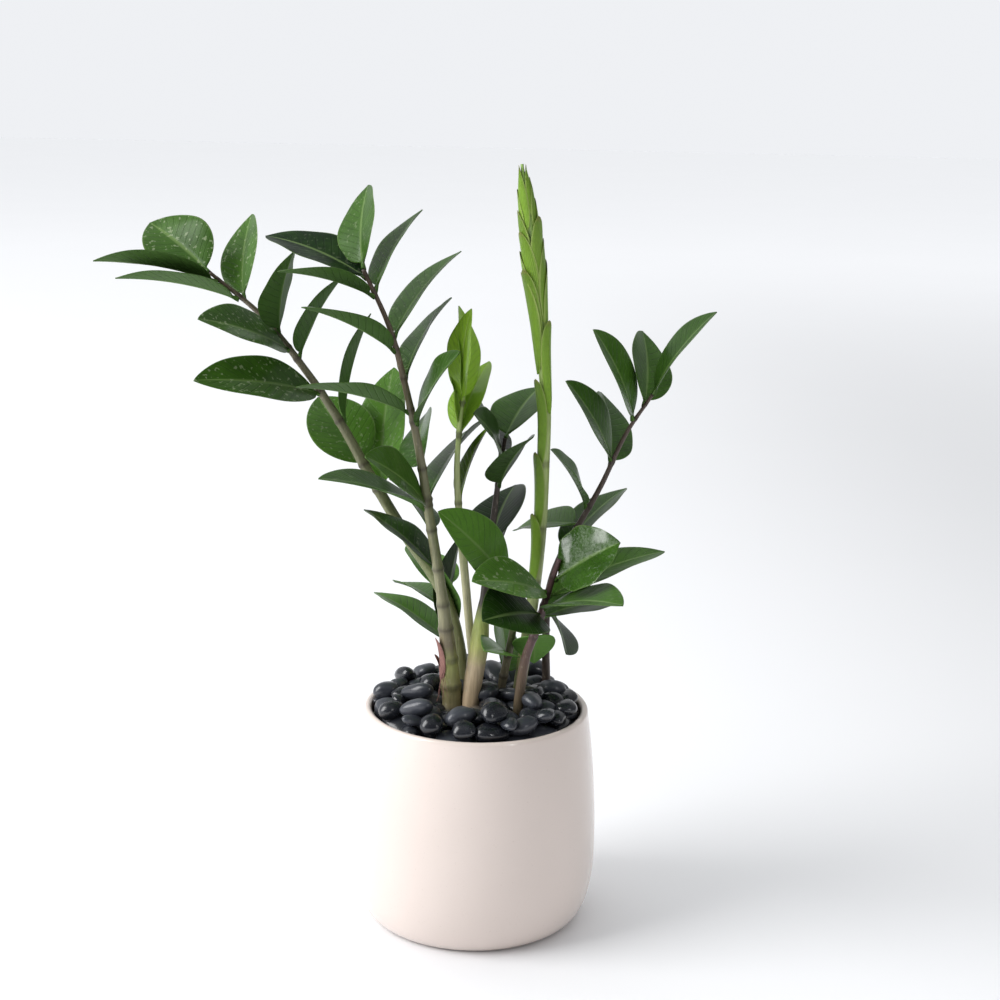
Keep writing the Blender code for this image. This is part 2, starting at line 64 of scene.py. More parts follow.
# ------------------------------------------------------------------ stems
# points: (x, y, z) in millimetres that a stem grows through, as in the frame's own stems.
# girth: (share of the length, radius in mm). skin: (share of the length, colour).
# scars: shares of the length with the dark ring of an old leaf.
STEMS = {
    "arching": {
        "points": [(-5, 8, 123), (-8, 9, 146), (-15, 11, 182), (-26, 14, 208), (-46, 18, 236),
                   (-66, 22, 268), (-87, 26, 304), (-107, 29, 333), (-133, 30, 365), (-164, 28, 391)],
        "girth": [(0, 4.4), (0.2, 4.0), (0.5, 3.3), (0.8, 2.0), (1, 1.0)],
        "skin": [(0, (0.15, 0.15, 0.07)), (0.3, (0.17, 0.19, 0.08)), (0.6, (0.15, 0.15, 0.08)),
                 (1, (0.09, 0.06, 0.045))],
    },
    "tall": {
        "points": [(-14, -12, 126), (-15, -12, 147), (-18, -14, 179), (-23, -17, 217), (-30, -20, 259),
                   (-36, -23, 297), (-44, -26, 335), (-53, -28, 368), (-68, -30, 401)],
        "girth": [(0, 5.8), (0.08, 5.9), (0.18, 4.8), (0.3, 3.2), (0.5, 2.8), (0.75, 1.9), (1, 1.1)],
        "scars": (0.035, 0.085, 0.145, 0.215, 0.27),
        "skin": [(0, (0.14, 0.10, 0.06)), (0.07, (0.22, 0.20, 0.09)), (0.14, (0.28, 0.30, 0.10)),
                 (0.18, (0.16, 0.13, 0.08)), (0.24, (0.22, 0.21, 0.12)), (0.5, (0.20, 0.20, 0.11)),
                 (0.8, (0.12, 0.09, 0.06)), (1, (0.08, 0.05, 0.04))],
    },
    "dark": {
        "points": [(-3, -16, 128), (-3, -14, 144), (1, -10, 175), (4, -4, 211), (8, 4, 249), (11, 8, 276),
                   (14, 10, 298)],
        "girth": [(0, 4.6), (0.15, 5.6), (0.28, 5.9), (0.36, 4.4), (0.44, 2.4), (0.7, 2.0), (1, 1.2)],
        "skin": [(0, (0.40, 0.29, 0.18)), (0.2, (0.42, 0.33, 0.21)), (0.27, (0.40, 0.42, 0.13)),
                 (0.36, (0.33, 0.40, 0.11)), (0.42, (0.05, 0.04, 0.035)), (1, (0.07, 0.05, 0.045))],
    },
    "leaning": {
        "points": [(43, 24, 121), (43, 24, 142), (42, 24, 171), (43, 22, 201), (50, 20, 225),
                   (61, 18, 246), (73, 16, 270), (86, 14, 301), (101, 12, 326)],
        "girth": [(0, 2.8), (0.3, 2.2), (0.6, 1.8), (1, 1.0)],
        "skin": [(0, (0.07, 0.05, 0.04)), (0.5, (0.08, 0.055, 0.05)), (1, (0.09, 0.06, 0.045))],
    },
    "short": {
        "points": [(25, -22, 130), (26, -22, 148), (29, -24, 172), (35, -26, 191), (39, -28, 207),
                   (43, -30, 221), (47, -31, 235)],
        "girth": [(0, 3.1), (0.3, 2.9), (0.6, 2.3), (1, 1.4)],
        "skin": [(0, (0.11, 0.09, 0.05)), (0.35, (0.12, 0.075, 0.05)), (0.5, (0.10, 0.05, 0.05)),
                 (1, (0.09, 0.045, 0.05))],
    },
    "young_shoot": {
        "points": [(2, 2, 125), (0, 1, 142), (-4, -1, 174), (-8, -3, 212), (-12, -5, 250), (-14, -7, 281),
                   (-13, -8, 305), (-11, -9, 326)],
        "girth": [(0, 2.6), (0.5, 2.5), (0.75, 1.9), (1, 1.1)],
        "skin": [(0, (0.34, 0.31, 0.19)), (0.4, (0.42, 0.40, 0.24)), (0.8, (0.40, 0.46, 0.20)),
                 (1, (0.28, 0.42, 0.09))],
    },
    "new_shoot": {
        "points": [(25, 6, 124), (26, 6, 141), (30, 6, 174), (33, 5, 200), (36, 3, 238), (37, 0, 281),
                   (37, -2, 324), (33, -4, 365), (27, -6, 412), (20, -8, 460)],
        "girth": [(0, 3.9), (0.4, 3.6), (0.62, 3.2), (0.72, 3.6), (0.82, 4.8), (0.9, 4.4), (0.96, 2.8),
                  (0.99, 0.9)],
        "skin": [(0, (0.22, 0.21, 0.10)), (0.2, (0.36, 0.42, 0.18)), (0.45, (0.40, 0.50, 0.18)),
                 (0.7, (0.34, 0.48, 0.14)), (1, (0.22, 0.36, 0.08))],
    },
    "centre_sprout": {
        "points": [(15, 1, 126), (15, 1, 143), (18, -2, 163), (21, -6, 183), (21, -10, 204),
                   (16, -14, 219)],
        "girth": [(0, 2.7), (0.5, 2.4), (1, 1.5)],
        "skin": [(0, (0.13, 0.10, 0.07)), (1, (0.14, 0.16, 0.08))],
    },
    "back_sprout": {
        "points": [(-12, 26, 123), (-14, 26, 140), (-18, 26, 163), (-23, 27, 185), (-26, 28, 205)],
        "girth": [(0, 2.6), (0.5, 2.2), (1, 1.3)],
        "skin": [(0, (0.12, 0.10, 0.06)), (1, (0.12, 0.15, 0.06))],
    },
}

# Blades that are still part of a growing shoot: (share of the stem's length, heading, rise,
# length mm, width mm, roll), with angles in degrees: heading about +Z from +X, rise above level,
# roll about the blade's own length. As in the frame's own shoots.
BLADES = {
    "young_shoot": [
        (0.98, 100, 70, 58, 28, 55),
        (0.98, 330, 85, 56, 28, 60),
        (0.89, 110, 60, 44, 26, 50),
        (0.88, 65, 45, 56, 28, -20),
        (0.68, 55, 55, 52, 28, -40),
    ],
    "new_shoot": [
        (0.74, 350, 85, 62, 14, -30),
        (0.66, 190, 85, 60, 14, 30),
        (0.58, 350, 85, 56, 15, -40),
        (0.48, 180, 85, 56, 14, 40),
        (0.36, 170, 85, 52, 14, 40),
        (0.26, 170, 85, 48, 13, 30),
    ],
    "centre_sprout": [
        (0.94, 215, 45, 72, 38, -60),
        (0.43, 250, 20, 44, 26, -25),
        (0.28, 95, 30, 50, 30, 50),
    ],
    "back_sprout": [
        (0.90, 110, 20, 50, 38, 20),
        (0.60, 250, 75, 46, 30, -45),
        (0.50, 145, 20, 64, 34, 10),
        (0.79, 130, 5, 48, 32, 15),
        (0.58, 45, 80, 62, 32, -65),
    ],
}
MATURE = ("arching", "tall", "dark", "leaning", "short")
SHOOT_MM = 0.00295                # a millimetre, as a share of the new shoot's length
YOUNG_UNDER = (0.34, 0.46, 0.16)  # colours of an opening leaflet's underside and midrib
YOUNG_RIB = (0.36, 0.46, 0.16)

# How green a leaflet looks, from 0 dark to 1 bright, and how speckled: a frond's own, then exceptions.
# The exceptions for single leaflets are partly their own green and partly painted light and shade,
# set to how brightly lit each of those leaflets is.
FROND_TONES = {
    "arching": (0.34, 1.0), "tall": (0.26, 0.4), "dark": (0.11, 0.1), "leaning": (0.30, 0.1),
    "short": (0.30, 0.15), "centre_sprout": (0.62, 0.1), "back_sprout": (0.52, 0.1),
    "young_shoot": (0.5, 0.0),
}
LEAFLET_TONES_WITH_PAINTED_LIGHT = {
    "short_leaflet_01": (0.20, 0.0), "short_leaflet_02": (0.46, 0.1), "short_leaflet_05": (0.12, 0.1),
    "short_leaflet_06": (0.40, 1.0), "short_leaflet_07": (1.10, 0.2),
    "leaning_leaflet_08": (0.50, 0.1), "leaning_leaflet_09": (0.06, 0.1),
    "arching_leaflet_01": (0.27, 1.0), "arching_leaflet_11": (0.58, 0.6),
    "arching_leaflet_10": (0.50, 0.6), "dark_leaflet_01": (0.24, 0.1),
    "dark_leaflet_05": (0.07, 0.0), "dark_leaflet_06": (-0.04, 0.0),
    "tall_leaflet_02": (0.08, 0.2), "tall_leaflet_10": (0.44, 0.1),
    "centre_sprout_blade_02": (0.95, 0.1), "back_sprout_blade_01": (0.90, 0.1),
    "back_sprout_blade_05": (0.06, 0.1), "young_shoot_blade_05": (0.20, 0.0),
}
CRINKLED = {"short_leaflet_01": 0.0008}  # metres of extra ripple in a glossy blade

SKY_COLOUR = (0.97, 0.985, 1.0)
SKY_SLOPE = (-0.35, 0.60, 0.30)   # how fast the sky brightens along x, y and z
SKY_LEVEL = 0.72                  # its strength where the slope is nothing
CAMERA_PLACE = (0.0117, -1.044, 0.509)
CAMERA_TILT = math.radians(76.71)
CAMERA_ROLL = math.radians(1.26)

GOLDEN_ANGLE = math.radians(137.508)
GAP = 0.0003                      # left between the pebbles' bed, the soil and the wall
BED_THICKNESS = 0.008             # fine stones under the pebbles
ROOT_DEPTH = 0.03                 # how far a stem goes on into the soil
FIBRE_RADIUS = 0.00022            # of a loose fibre at its start
# Pebbles lie in rings: (ring radius as a share of the room, count, height above the bed, size).
PEBBLE_RINGS = [(0.93, 14, 0.40, 0.98), (0.64, 10, 0.44, 1.00), (0.36, 6, 0.42, 0.95),
                (0.10, 2, 0.40, 0.90), (0.80, 8, 1.02, 0.86), (0.38, 4, 0.98, 0.84)]
SETTLING_STEPS = 260
SINKING_STEPS = 215               # the steps after these only push pebbles apart
SINK = 0.0004                     # metres down in one step
PUSH = 0.30                       # share of an overlap that one step undoes
CLOSENESS = 0.97                  # distance of touching pebbles, as a share of their reach


# ------------------------------------------------------------------ sizes and colours
def number_prop(name, default, description, **kind):
    return bpy.props.FloatProperty(name=name, default=default, description=description, **kind)


def length_prop(name, default, description):
    return number_prop(name, default, description, unit="LENGTH")


def colour_prop(name, default, description):
    return bpy.props.FloatVectorProperty(
        name=name, default=default, description=description, subtype="COLOR", size=3)


class ZZPotSettings(bpy.types.PropertyGroup):
    """The glazed pot."""
    rim_radius: length_prop("Rim radius", 0.068, "Outside radius of the lip")
    foot_radius: length_prop("Foot radius", 0.058, "Radius of the flat foot")
    belly_height: length_prop("Belly height", 0.046, "Height of the widest ring")
    belly_power: number_prop("Belly power", 2.3, "2 is an ellipse, more is squarer")
    wall: length_prop("Wall", 0.0045, "Thickness of the wall")
    floor: length_prop("Floor", 0.008, "Thickness of the floor")
    glaze: colour_prop("Glaze", (0.72, 0.625, 0.575), "Colour of the glaze")


class ZZPebbleSettings(bpy.types.PropertyGroup):
    """The river pebbles."""
    length: length_prop("Length", 0.0235, "A middling pebble's long axis")
    width: length_prop("Width", 0.0175, "A middling pebble's width")
    height: length_prop("Height", 0.0116, "A middling pebble's thickness")
    small_count: bpy.props.IntProperty(
        name="Small pebbles", default=84, description="Smaller pebbles between the others")
    small_size: number_prop(
        "Small size", 0.60, "A small pebble's share of a middling one", subtype="FACTOR")
    dark: colour_prop("Dark", (0.006, 0.007, 0.010), "The darkest pebbles")
    grey: colour_prop("Grey", (0.060, 0.066, 0.082), "The palest pebbles")


class ZZLeafSettings(bpy.types.PropertyGroup):
    """Leaflets of every frond."""
    thickness: length_prop("Thickness", 0.0009, "Thickness of a blade at its midrib")
    fold: number_prop(
        "Fold", math.radians(14), "Angle of each half blade above flat", subtype="ANGLE")
    arch: number_prop("Arch", 0.05, "Rise of a blade's middle, as a share of its length")
    ripple: length_prop("Ripple", 0.0006, "Waviness of the margins")
    dark: colour_prop("Dark green", (0.004, 0.018, 0.003), "The darkest leaflets")
    bright: colour_prop("Bright green", (0.120, 0.290, 0.030), "The brightest leaflets")
    under: colour_prop("Underside", (0.135, 0.290, 0.060), "Colour of the underside")
    young: colour_prop("Young green", (0.24, 0.43, 0.035), "Colour of a leaflet that is opening")
    rib: colour_prop("Midrib", (0.20, 0.30, 0.10), "Colour of the midrib and the margin")


class ZZStemSettings(bpy.types.PropertyGroup):
    """Stems, the wrapped new shoot and the papery sheath."""
    knuckle: number_prop(
        "Knuckle", 0.16, "Swelling where a leaflet joins, a share of the radius", subtype="FACTOR")
    scales: bpy.props.IntProperty(
        name="Scales", default=13, description="Wrapped leaflets in the new shoot's spear")
    fibres: bpy.props.IntProperty(
        name="Fibres", default=6, description="Loose fibres under the dry sheath")
    sheath: colour_prop("Sheath", (0.27, 0.13, 0.11), "Colour of the dry sheath")


class ZZStageSettings(bpy.types.PropertyGroup):
    """Floor, lights and camera."""
    floor_size: length_prop("Floor", 24.0, "Side of the floor")
    floor_colour: colour_prop("Floor colour", (0.955, 0.957, 0.972), "Colour of the floor")
    sky: number_prop("Sky", 1.0, "Brightness of the light from all round")
    mirror_dim: number_prop(
        "Mirror dimming", 0.65, "How much dimmer the sky is in reflections", subtype="FACTOR")
    backdrop: colour_prop("Backdrop", (0.862, 0.876, 0.904), "Tone seen behind the floor")
    window: number_prop("Window", 150.0, "Power of the large light at the left", unit="POWER")
    streak: number_prop("Streak", 1.6, "Power of the narrow light at the right", unit="POWER")
    lens: number_prop("Lens", 64.8, "Focal length on a film 36 mm wide", unit="CAMERA")


# ------------------------------------------------------------------ shader helpers
class Wire:
    """An output socket in an expression: its sums and products add Math nodes."""

    def __init__(self, paint, socket):
        self.paint = paint
        self.socket = socket

    def maths(self, operation, first, second=0.0):
        return self.paint.node("ShaderNodeMath", {"operation": operation}, {0: first, 1: second})

    def __add__(self, other):
        return self.maths("ADD", self, other)

    def __sub__(self, other):
        return self.maths("SUBTRACT", self, other)

    def __mul__(self, other):
        return self.maths("MULTIPLY", self, other)

    def __rsub__(self, other):
        return self.maths("SUBTRACT", other, self)

    def __abs__(self):
        return self.maths("ABSOLUTE", self)

    __radd__ = __add__
    __rmul__ = __mul__


class Paint:
    """The nodes of a new material or world."""

    def __init__(self, owner):
        owner.use_nodes = True
        self.owner = owner
        self.tree = owner.node_tree

    def feed(self, socket, value):
        if isinstance(value, Wire):
            self.tree.links.new(value.socket, socket)
        elif socket.type == "RGBA":
            socket.default_value = (*value, 1.0)
        else:
            socket.default_value = value

    def node(self, kind, settings=None, sockets=None, output=0):
        """Adds a node: its settings first, then its sockets' values or links."""
        made = self.tree.nodes.new(kind)
        for key, value in (settings or {}).items():
            setattr(made, key, value)
        for key, value in (sockets or {}).items():
            self.feed(made.inputs[key], value)
        return Wire(self, made.outputs[output])

    def place(self, stretch=(1.0, 1.0, 1.0)):
        where = self.node("ShaderNodeTexCoord", output="Object")
        return self.node("ShaderNodeMapping", sockets={"Vector": where, "Scale": stretch})

    def mark(self, name, output="Fac"):
        return self.node("ShaderNodeAttribute", {"attribute_name": name}, output=output)

    def noise(self, where, scale, detail=3.0, roughness=0.5):
        return self.node("ShaderNodeTexNoise", sockets={
            "Vector": where, "Scale": scale, "Detail": detail, "Roughness": roughness})

    def step(self, value, low, high):
        """0 below low, 1 above high, and a smooth rise between."""
        return self.node("ShaderNodeMapRange", {"interpolation_type": "SMOOTHSTEP"},
                         {"Value": value, "From Min": low, "From Max": high})

    def spots(self, where, scale, detail, low, high):
        """Noise that is 0 over most of the surface and 1 where it is above high."""
        return self.step(self.noise(where, scale, detail), low, high)

    def mix(self, factor, first, second):
        """The first colour at factor 0 and the second at 1."""
        return self.node("ShaderNodeMix", {"data_type": "RGBA"},
                         {0: factor, 6: first, 7: second}, output=2)

    def shade(self, colour, value):
        """A colour made darker or lighter by a number."""
        grey = self.node("ShaderNodeCombineXYZ", sockets={0: value, 1: value, 2: value})
        return self.node("ShaderNodeVectorMath", {"operation": "MULTIPLY"}, {0: colour, 1: grey})

    def split(self, vector):
        """A vector's first two parts, each through a node of its own."""
        return [self.node("ShaderNodeSeparateXYZ", sockets={0: vector}, output=k) for k in (0, 1)]

    def bump(self, height, distance, strength=1.0):
        return self.node("ShaderNodeBump", sockets={
            "Height": height, "Distance": distance, "Strength": strength}, output="Normal")

    def finish(self, **sockets):
        """Feeds the shader: a socket's name in lower case, with _ for its spaces."""
        shader = self.tree.nodes["Principled BSDF"]
        for key, value in sockets.items():
            self.feed(shader.inputs[key.replace("_", " ").title().replace("Ior", "IOR")], value)
        return self.owner


def new_paint(name):
    return Paint(bpy.data.materials.new(name))


def tinted(tone, share):
    """A colour with each part multiplied by a number, 1 at most."""
    return [min(part * share, 1.0) for part in tone]


def glaze_paint(settings):
    """Glossy glaze: a slow change of tone, faint specks and pooled ripples."""
    paint = new_paint("glaze")
    where = paint.place()
    slow = paint.noise(where, 14.0, 2.0)
    specks = paint.spots(where, 900.0, 1.0, 0.70, 0.78)
    colour = paint.mix(slow, tinted(settings.glaze, 0.96), tinted(settings.glaze, 1.04))
    colour = paint.mix(specks * 0.18, colour, (0.40, 0.30, 0.25))
    ripples = paint.noise(paint.place((1.0, 1.0, 0.35)), 30.0, 2.0)
    return paint.finish(
        base_color=colour, roughness=paint.noise(where, 60.0) * 0.10 + 0.17, coat_weight=0.5,
        coat_roughness=0.06, normal=paint.bump(ripples, 0.0006, 0.35))


def soil_paint():
    """Dark crumbly potting mix with lighter bark flecks."""
    paint = new_paint("potting_mix")
    where = paint.place()
    crumbs = paint.noise(where, 260.0, 6.0, 0.7)
    flecks = paint.spots(where, 420.0, 2.0, 0.62, 0.70)
    colour = paint.mix(crumbs, (0.012, 0.008, 0.005), (0.075, 0.050, 0.032))
    colour = paint.mix(flecks * 0.6, colour, (0.20, 0.14, 0.09))
    return paint.finish(base_color=colour, roughness=0.95, normal=paint.bump(crumbs, 0.002))


def pebble_paint(settings):
    """Polished river stone: a tone for each stone, cloudy mottling and pale dust."""
    paint = new_paint("river_pebble")
    where = paint.place()
    cloud = paint.noise(where, 160.0, 5.0, 0.6)
    dust = paint.spots(where, 1400.0, 2.0, 0.62, 0.74)
    tone = paint.mark("tone")
    colour = paint.mix(tone * 0.75 + cloud * 0.3 - 0.05, settings.dark, settings.grey)
    colour = paint.mix(dust * 0.16, colour, (0.20, 0.20, 0.22))
    rough = cloud * 0.24 + tone * 0.18 + 0.10
    return paint.finish(base_color=colour, roughness=rough, coat_weight=0.30,
                        coat_roughness=0.14, normal=paint.bump(cloud, 0.0004, 0.5))


def leaf_paint(name, dark, bright, under, rib, gloss=0.0):
    """A waxy blade: midrib, slanting side veins, mottling and specks above, paler below.

    The blade's own map runs along it in u and from edge to edge in v. Side veins are the thin
    bands where u * count - slant * |across| passes a whole number."""
    paint = new_paint(name)
    where = paint.place()
    along, across = paint.split(paint.node("ShaderNodeUVMap", {"uv_map": "UVMap"}))
    side = abs(across * 2.0 - 1.0)
    upper = paint.step(paint.mark("upper"), 0.35, 0.65)
    tone = paint.mark("tone")
    mottle = paint.noise(where, 70.0, 4.0)
    fine = paint.noise(where, 700.0, 3.0)

    midrib = 1.0 - paint.step(side, 0.02, 0.085)
    beat = paint.node("ShaderNodeMath", {"operation": "FRACT"}, {
        0: along * 13.0 - side * 2.6 + mottle * 0.25 + 8.0})
    vein = (1.0 - paint.step(abs(beat - 0.5), 0.03, 0.12)) * paint.step(side, 0.06, 0.2)
    margin = paint.step(side, 0.93, 0.99)
    specks = paint.spots(where, 400.0, 1.5, 0.61, 0.67) * paint.mark("speck")

    # tone is partly the leaflet's own green and partly painted light and shade.
    top = paint.mix(tone + (mottle - 0.5) * 0.35, dark, bright)
    top = paint.shade(top, 1.0 + (fine - 0.5) * 0.30 - vein * 0.13)
    top = paint.mix(midrib * 0.45, top, rib)
    top = paint.mix(specks * 0.42, top, (0.36, 0.42, 0.26))
    top = paint.mix(margin * 0.35, top, rib)
    below = paint.mix(tone * 0.95 + (mottle - 0.5) * 0.2, tinted(under, 0.16), under)
    below = paint.shade(below, 1.0 - vein * 0.15)
    below = paint.mix(midrib * 0.5, below, rib)
    rough = (1.0 - upper) * 0.20 + (mottle - 0.5) * 0.10 + fine * 0.05 + 0.30 - 0.12 * gloss
    height = fine * 0.10 + mottle * 0.30 - vein * (0.45 - 0.35 * gloss)
    shine = upper * (0.07 + paint.step(tone, 0.02, 0.26) * 0.20)
    if gloss:
        height = height + paint.noise(where, 150.0, 3.0, 0.6) * 5.0 * gloss
        shine = upper * (0.10 + paint.spots(where, 60.0, 3.0, 0.44, 0.60) * 1.2 * gloss)
    return paint.finish(
        base_color=paint.mix(upper, below, top), roughness=rough, coat_weight=shine,
        coat_roughness=0.16 + 0.02 * gloss, specular_ior_level=0.12 + 0.1 * gloss,
        normal=paint.bump(height, 0.0006, 0.7))


def stem_paint():
    """Fleshy stem: the skin's own colours, long streaks, pale pores and dark rings."""
    paint = new_paint("stem_skin")
    where = paint.place()
    streaks = paint.noise(paint.place((1.0, 1.0, 0.06)), 900.0, 3.0)
    pores = paint.spots(paint.place((1.0, 1.0, 0.45)), 650.0, 1.0, 0.64, 0.72)
    blotch = paint.noise(where, 130.0, 4.0)
    colour = paint.mark("skin", "Color")
    colour = paint.shade(colour, 0.52 + streaks * 0.62 + blotch * 0.34)
    colour = paint.mix(pores * 0.22, colour, (0.42, 0.38, 0.28))
    colour = paint.mix(paint.mark("ring") * 0.85, colour, (0.030, 0.019, 0.013))
    return paint.finish(base_color=colour, roughness=0.34 + blotch * 0.22,
                        normal=paint.bump(streaks + blotch * 0.6, 0.0005, 0.5))


def sheath_paint(settings):
    """Dry papery sheath: long fibres from tan to purple brown."""
    paint = new_paint("dry_sheath")
    fibres = paint.noise(paint.place((1.0, 1.0, 0.08)), 1300.0, 4.0, 0.65)
    colour = paint.mix(fibres, tinted(settings.sheath, 0.35), tinted(settings.sheath, 1.5))
    return paint.finish(base_color=colour, roughness=0.78, normal=paint.bump(fibres, 0.0004))


def scale_paint(settings):
    """Wrapped young scale: green streaks that run along it, a pale margin and a brownish tip."""
    paint = new_paint("spear_scale")
    along, across = paint.split(paint.node("ShaderNodeUVMap", {"uv_map": "UVMap"}))
    where = paint.place()
    fine = paint.noise(where, 420.0, 3.0)
    streak = paint.node("ShaderNodeMath", {"operation": "SINE"}, {0: across * 95.0 + fine * 3.0})
    side = abs(across * 2.0 - 1.0)
    colour = paint.mix(along * 0.55 + paint.mark("tone") * 0.5, tinted(settings.young, 1.05),
                       tinted(settings.young, 0.55))
    colour = paint.shade(colour, 0.92 + streak * 0.09 + (fine - 0.5) * 0.3)
    colour = paint.mix(paint.step(side, 0.80, 0.97) * 0.5, colour, (0.42, 0.50, 0.16))
    colour = paint.mix(paint.step(along + (fine - 0.5) * 0.1, 0.92, 0.99) * 0.5, colour,
                       (0.26, 0.20, 0.06))
    return paint.finish(base_color=colour, roughness=0.34 + fine * 0.14, specular_ior_level=0.35,
                        normal=paint.bump(streak * 0.3 + fine * 0.5, 0.0004, 0.6))


def floor_paint_with_painted_shade(settings):
    """Matt white sweep with painted shade: a little greyer near the pot and towards the right than far
    behind it, in place of the plant's soft shadow and the dimmer light at the right.
    """
    paint = new_paint("floor")
    where = paint.place()
    slow = paint.noise(where, 3.0, 2.0)
    right, behind = paint.split(where)
    # Painted shade: grey darkens the floor near the pot and towards the right.
    grey = (0.13 + 0.20 * paint.step(right, -0.15, 0.75)) * (1.0 - paint.step(behind, 0.8, 4.5))
    pale = settings.floor_colour
    colour = paint.shade(paint.mix(slow, tinted(pale, 0.985), pale), 1.0 - grey)
    return paint.finish(base_color=colour, roughness=0.6, specular_ior_level=0.0)


# ------------------------------------------------------------------ shapes
def unit(vectors):
    return vectors / np.linalg.norm(vectors, axis=-1, keepdims=True)


def circle(count):
    """Angles at equal steps once round."""
    return np.linspace(0, 2 * math.pi, count, endpoint=False)


def rows_at(where, stops, table):
    """A table's rows read at the wanted places between its stops."""
    return np.stack([np.interp(where, stops, column) for column in table.T], -1)


def spokes(side, front, angle):
    """Unit vectors square to a line, at angles round each of its points: side cos a + front sin a."""
    return side[:, None] * np.cos(angle)[..., None] + front[:, None] * np.sin(angle)[..., None]


def closed_tube(rings):
    """Vertices and faces of a skin through rings of points, closed by a fan at each end."""
    rows, around = rings.shape[:2]
    j = np.arange(around)
    after = (j + 1) % around
    start = np.arange(rows - 1)[:, None] * around
    quads = np.stack([start + j, start + after, start + around + after, start + around + j], -1)
    last = (rows - 1) * around
    low = np.stack([np.full(around, rows * around), after, j], -1)
    high = np.stack([np.full(around, rows * around + 1), last + j, last + after], -1)
    verts = np.vstack([rings.reshape(-1, 3), rings[0].mean(0), rings[-1].mean(0)])
    return verts, quads.reshape(-1, 4), np.vstack([low, high])


def facing_out(verts, quads, fans):
    """The same faces, turned over if the volume they enclose comes out negative."""
    corners = np.vstack([quads[:, [0, 1, 2]], quads[:, [0, 2, 3]], fans])
    a, b, c = (verts[corners[:, k]] for k in range(3))
    if np.einsum("ij,ij->i", a, np.cross(b, c)).sum() < 0:
        return quads[:, ::-1], fans[:, ::-1]
    return quads, fans


def add_object(name, data):
    made = bpy.data.objects.new(name, data)
    bpy.context.scene.collection.objects.link(made)
    return made


def make_piece(name, node, rings, material, marks=None, skin=None, uv=None):
    """A smooth closed object through rings of points, or several sets of rings, for a node.

    marks, skin and uv have one row for each point of each set, the two end points included."""
    verts, faces, total = [], [], 0
    for ring_set in rings if isinstance(rings, list) else [rings]:
        points, quads, fans = closed_tube(ring_set)
        quads, fans = facing_out(points, quads, fans)
        faces += (quads + total).tolist() + (fans + total).tolist()
        verts.append(points)
        total += len(points)
    mesh = bpy.data.meshes.new(name)
    mesh.from_pydata(np.vstack(verts).tolist(), [], faces)
    mesh.shade_smooth()
    for key, values in (marks or {}).items():
        layer = mesh.attributes.new(key, "FLOAT", "POINT")
        layer.data.foreach_set("value", np.asarray(values, np.float32))
    if skin is not None:
        layer = mesh.attributes.new("skin", "FLOAT_COLOR", "POINT")
        rgba = np.hstack([skin, np.ones((len(skin), 1))])
        layer.data.foreach_set("color", rgba.astype(np.float32).ravel())
    if uv is not None:
        corner = np.empty(len(mesh.loops), np.int32)
        mesh.loops.foreach_get("vertex_index", corner)
        layer = mesh.uv_layers.new(name="UVMap")
        layer.data.foreach_set("uv", uv[corner].astype(np.float32).ravel())
    mesh.materials.append(material)
    piece = add_object(name, mesh)
    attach(piece, "root")
    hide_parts(node)


def with_ends(rows):
    """A grid's values in a line, with the first and last rows' means for the two end points."""
    return np.vstack([rows.reshape(-1, rows.shape[-1]), rows[0].mean(0), rows[-1].mean(0)])


def smooth_line(points, count):
    """Points at equal steps along a Catmull-Rom line through the given ones, in metres.

    Between b and c, with a before and d after, the place at u is half of
    2b + (c - a)u + (2a - 5b + 4c - d)u^2 + (3b - a - 3c + d)u^3."""
    given = np.array(points, float) * 0.001
    ends = np.vstack([2 * given[0] - given[1], given, 2 * given[-1] - given[-2]])
    a, b, c, d = (ends[k:len(ends) - 3 + k, None] for k in range(4))
    u = np.linspace(0, 1, 12, endpoint=False)[:, None]
    line = 0.5 * (2 * b + (c - a) * u + (2 * a - 5 * b + 4 * c - d) * u ** 2
                  + (3 * b - a - 3 * c + d) * u ** 3)
    line = np.vstack([line.reshape(-1, 3), given[-1:]])
    far = np.concatenate([[0], np.cumsum(np.linalg.norm(np.diff(line, axis=0), axis=1))])
    return rows_at(np.linspace(0, far[-1], count), far, line)


def line_axes(line):
    """Two directions square to a line at each of its points; the first has no depth."""
    ahead = unit(np.gradient(line, axis=0))
    side = unit(np.cross(ahead, [0.0, 1.0, 0.0]))
    return side, np.cross(ahead, side)


def along(values, share):
    """Rows of a table of (share, value) pairs read at the wanted shares."""
    stops = [v[0] for v in values]
    return rows_at(share, stops, np.array([v[1] for v in values], float).reshape(len(values), -1))


# ------------------------------------------------------------------ pot, soil and pebbles
def pot_radius(settings, z):
    """Outside radius at height z: a squared-off ellipse below the belly, a parabola above."""
    belly = settings.belly_height
    low = np.clip(1 - z / belly, 0, 1)
    bulge = (1 - low ** settings.belly_power) ** (1 / settings.belly_power)
    below = settings.foot_radius + (BELLY_RADIUS - settings.foot_radius) * bulge
    high = np.clip((z - belly) / (POT_TOP - belly), 0, 1)
    above = BELLY_RADIUS - (BELLY_RADIUS - settings.rim_radius) * high ** 2
    return np.where(z < belly, below, above)


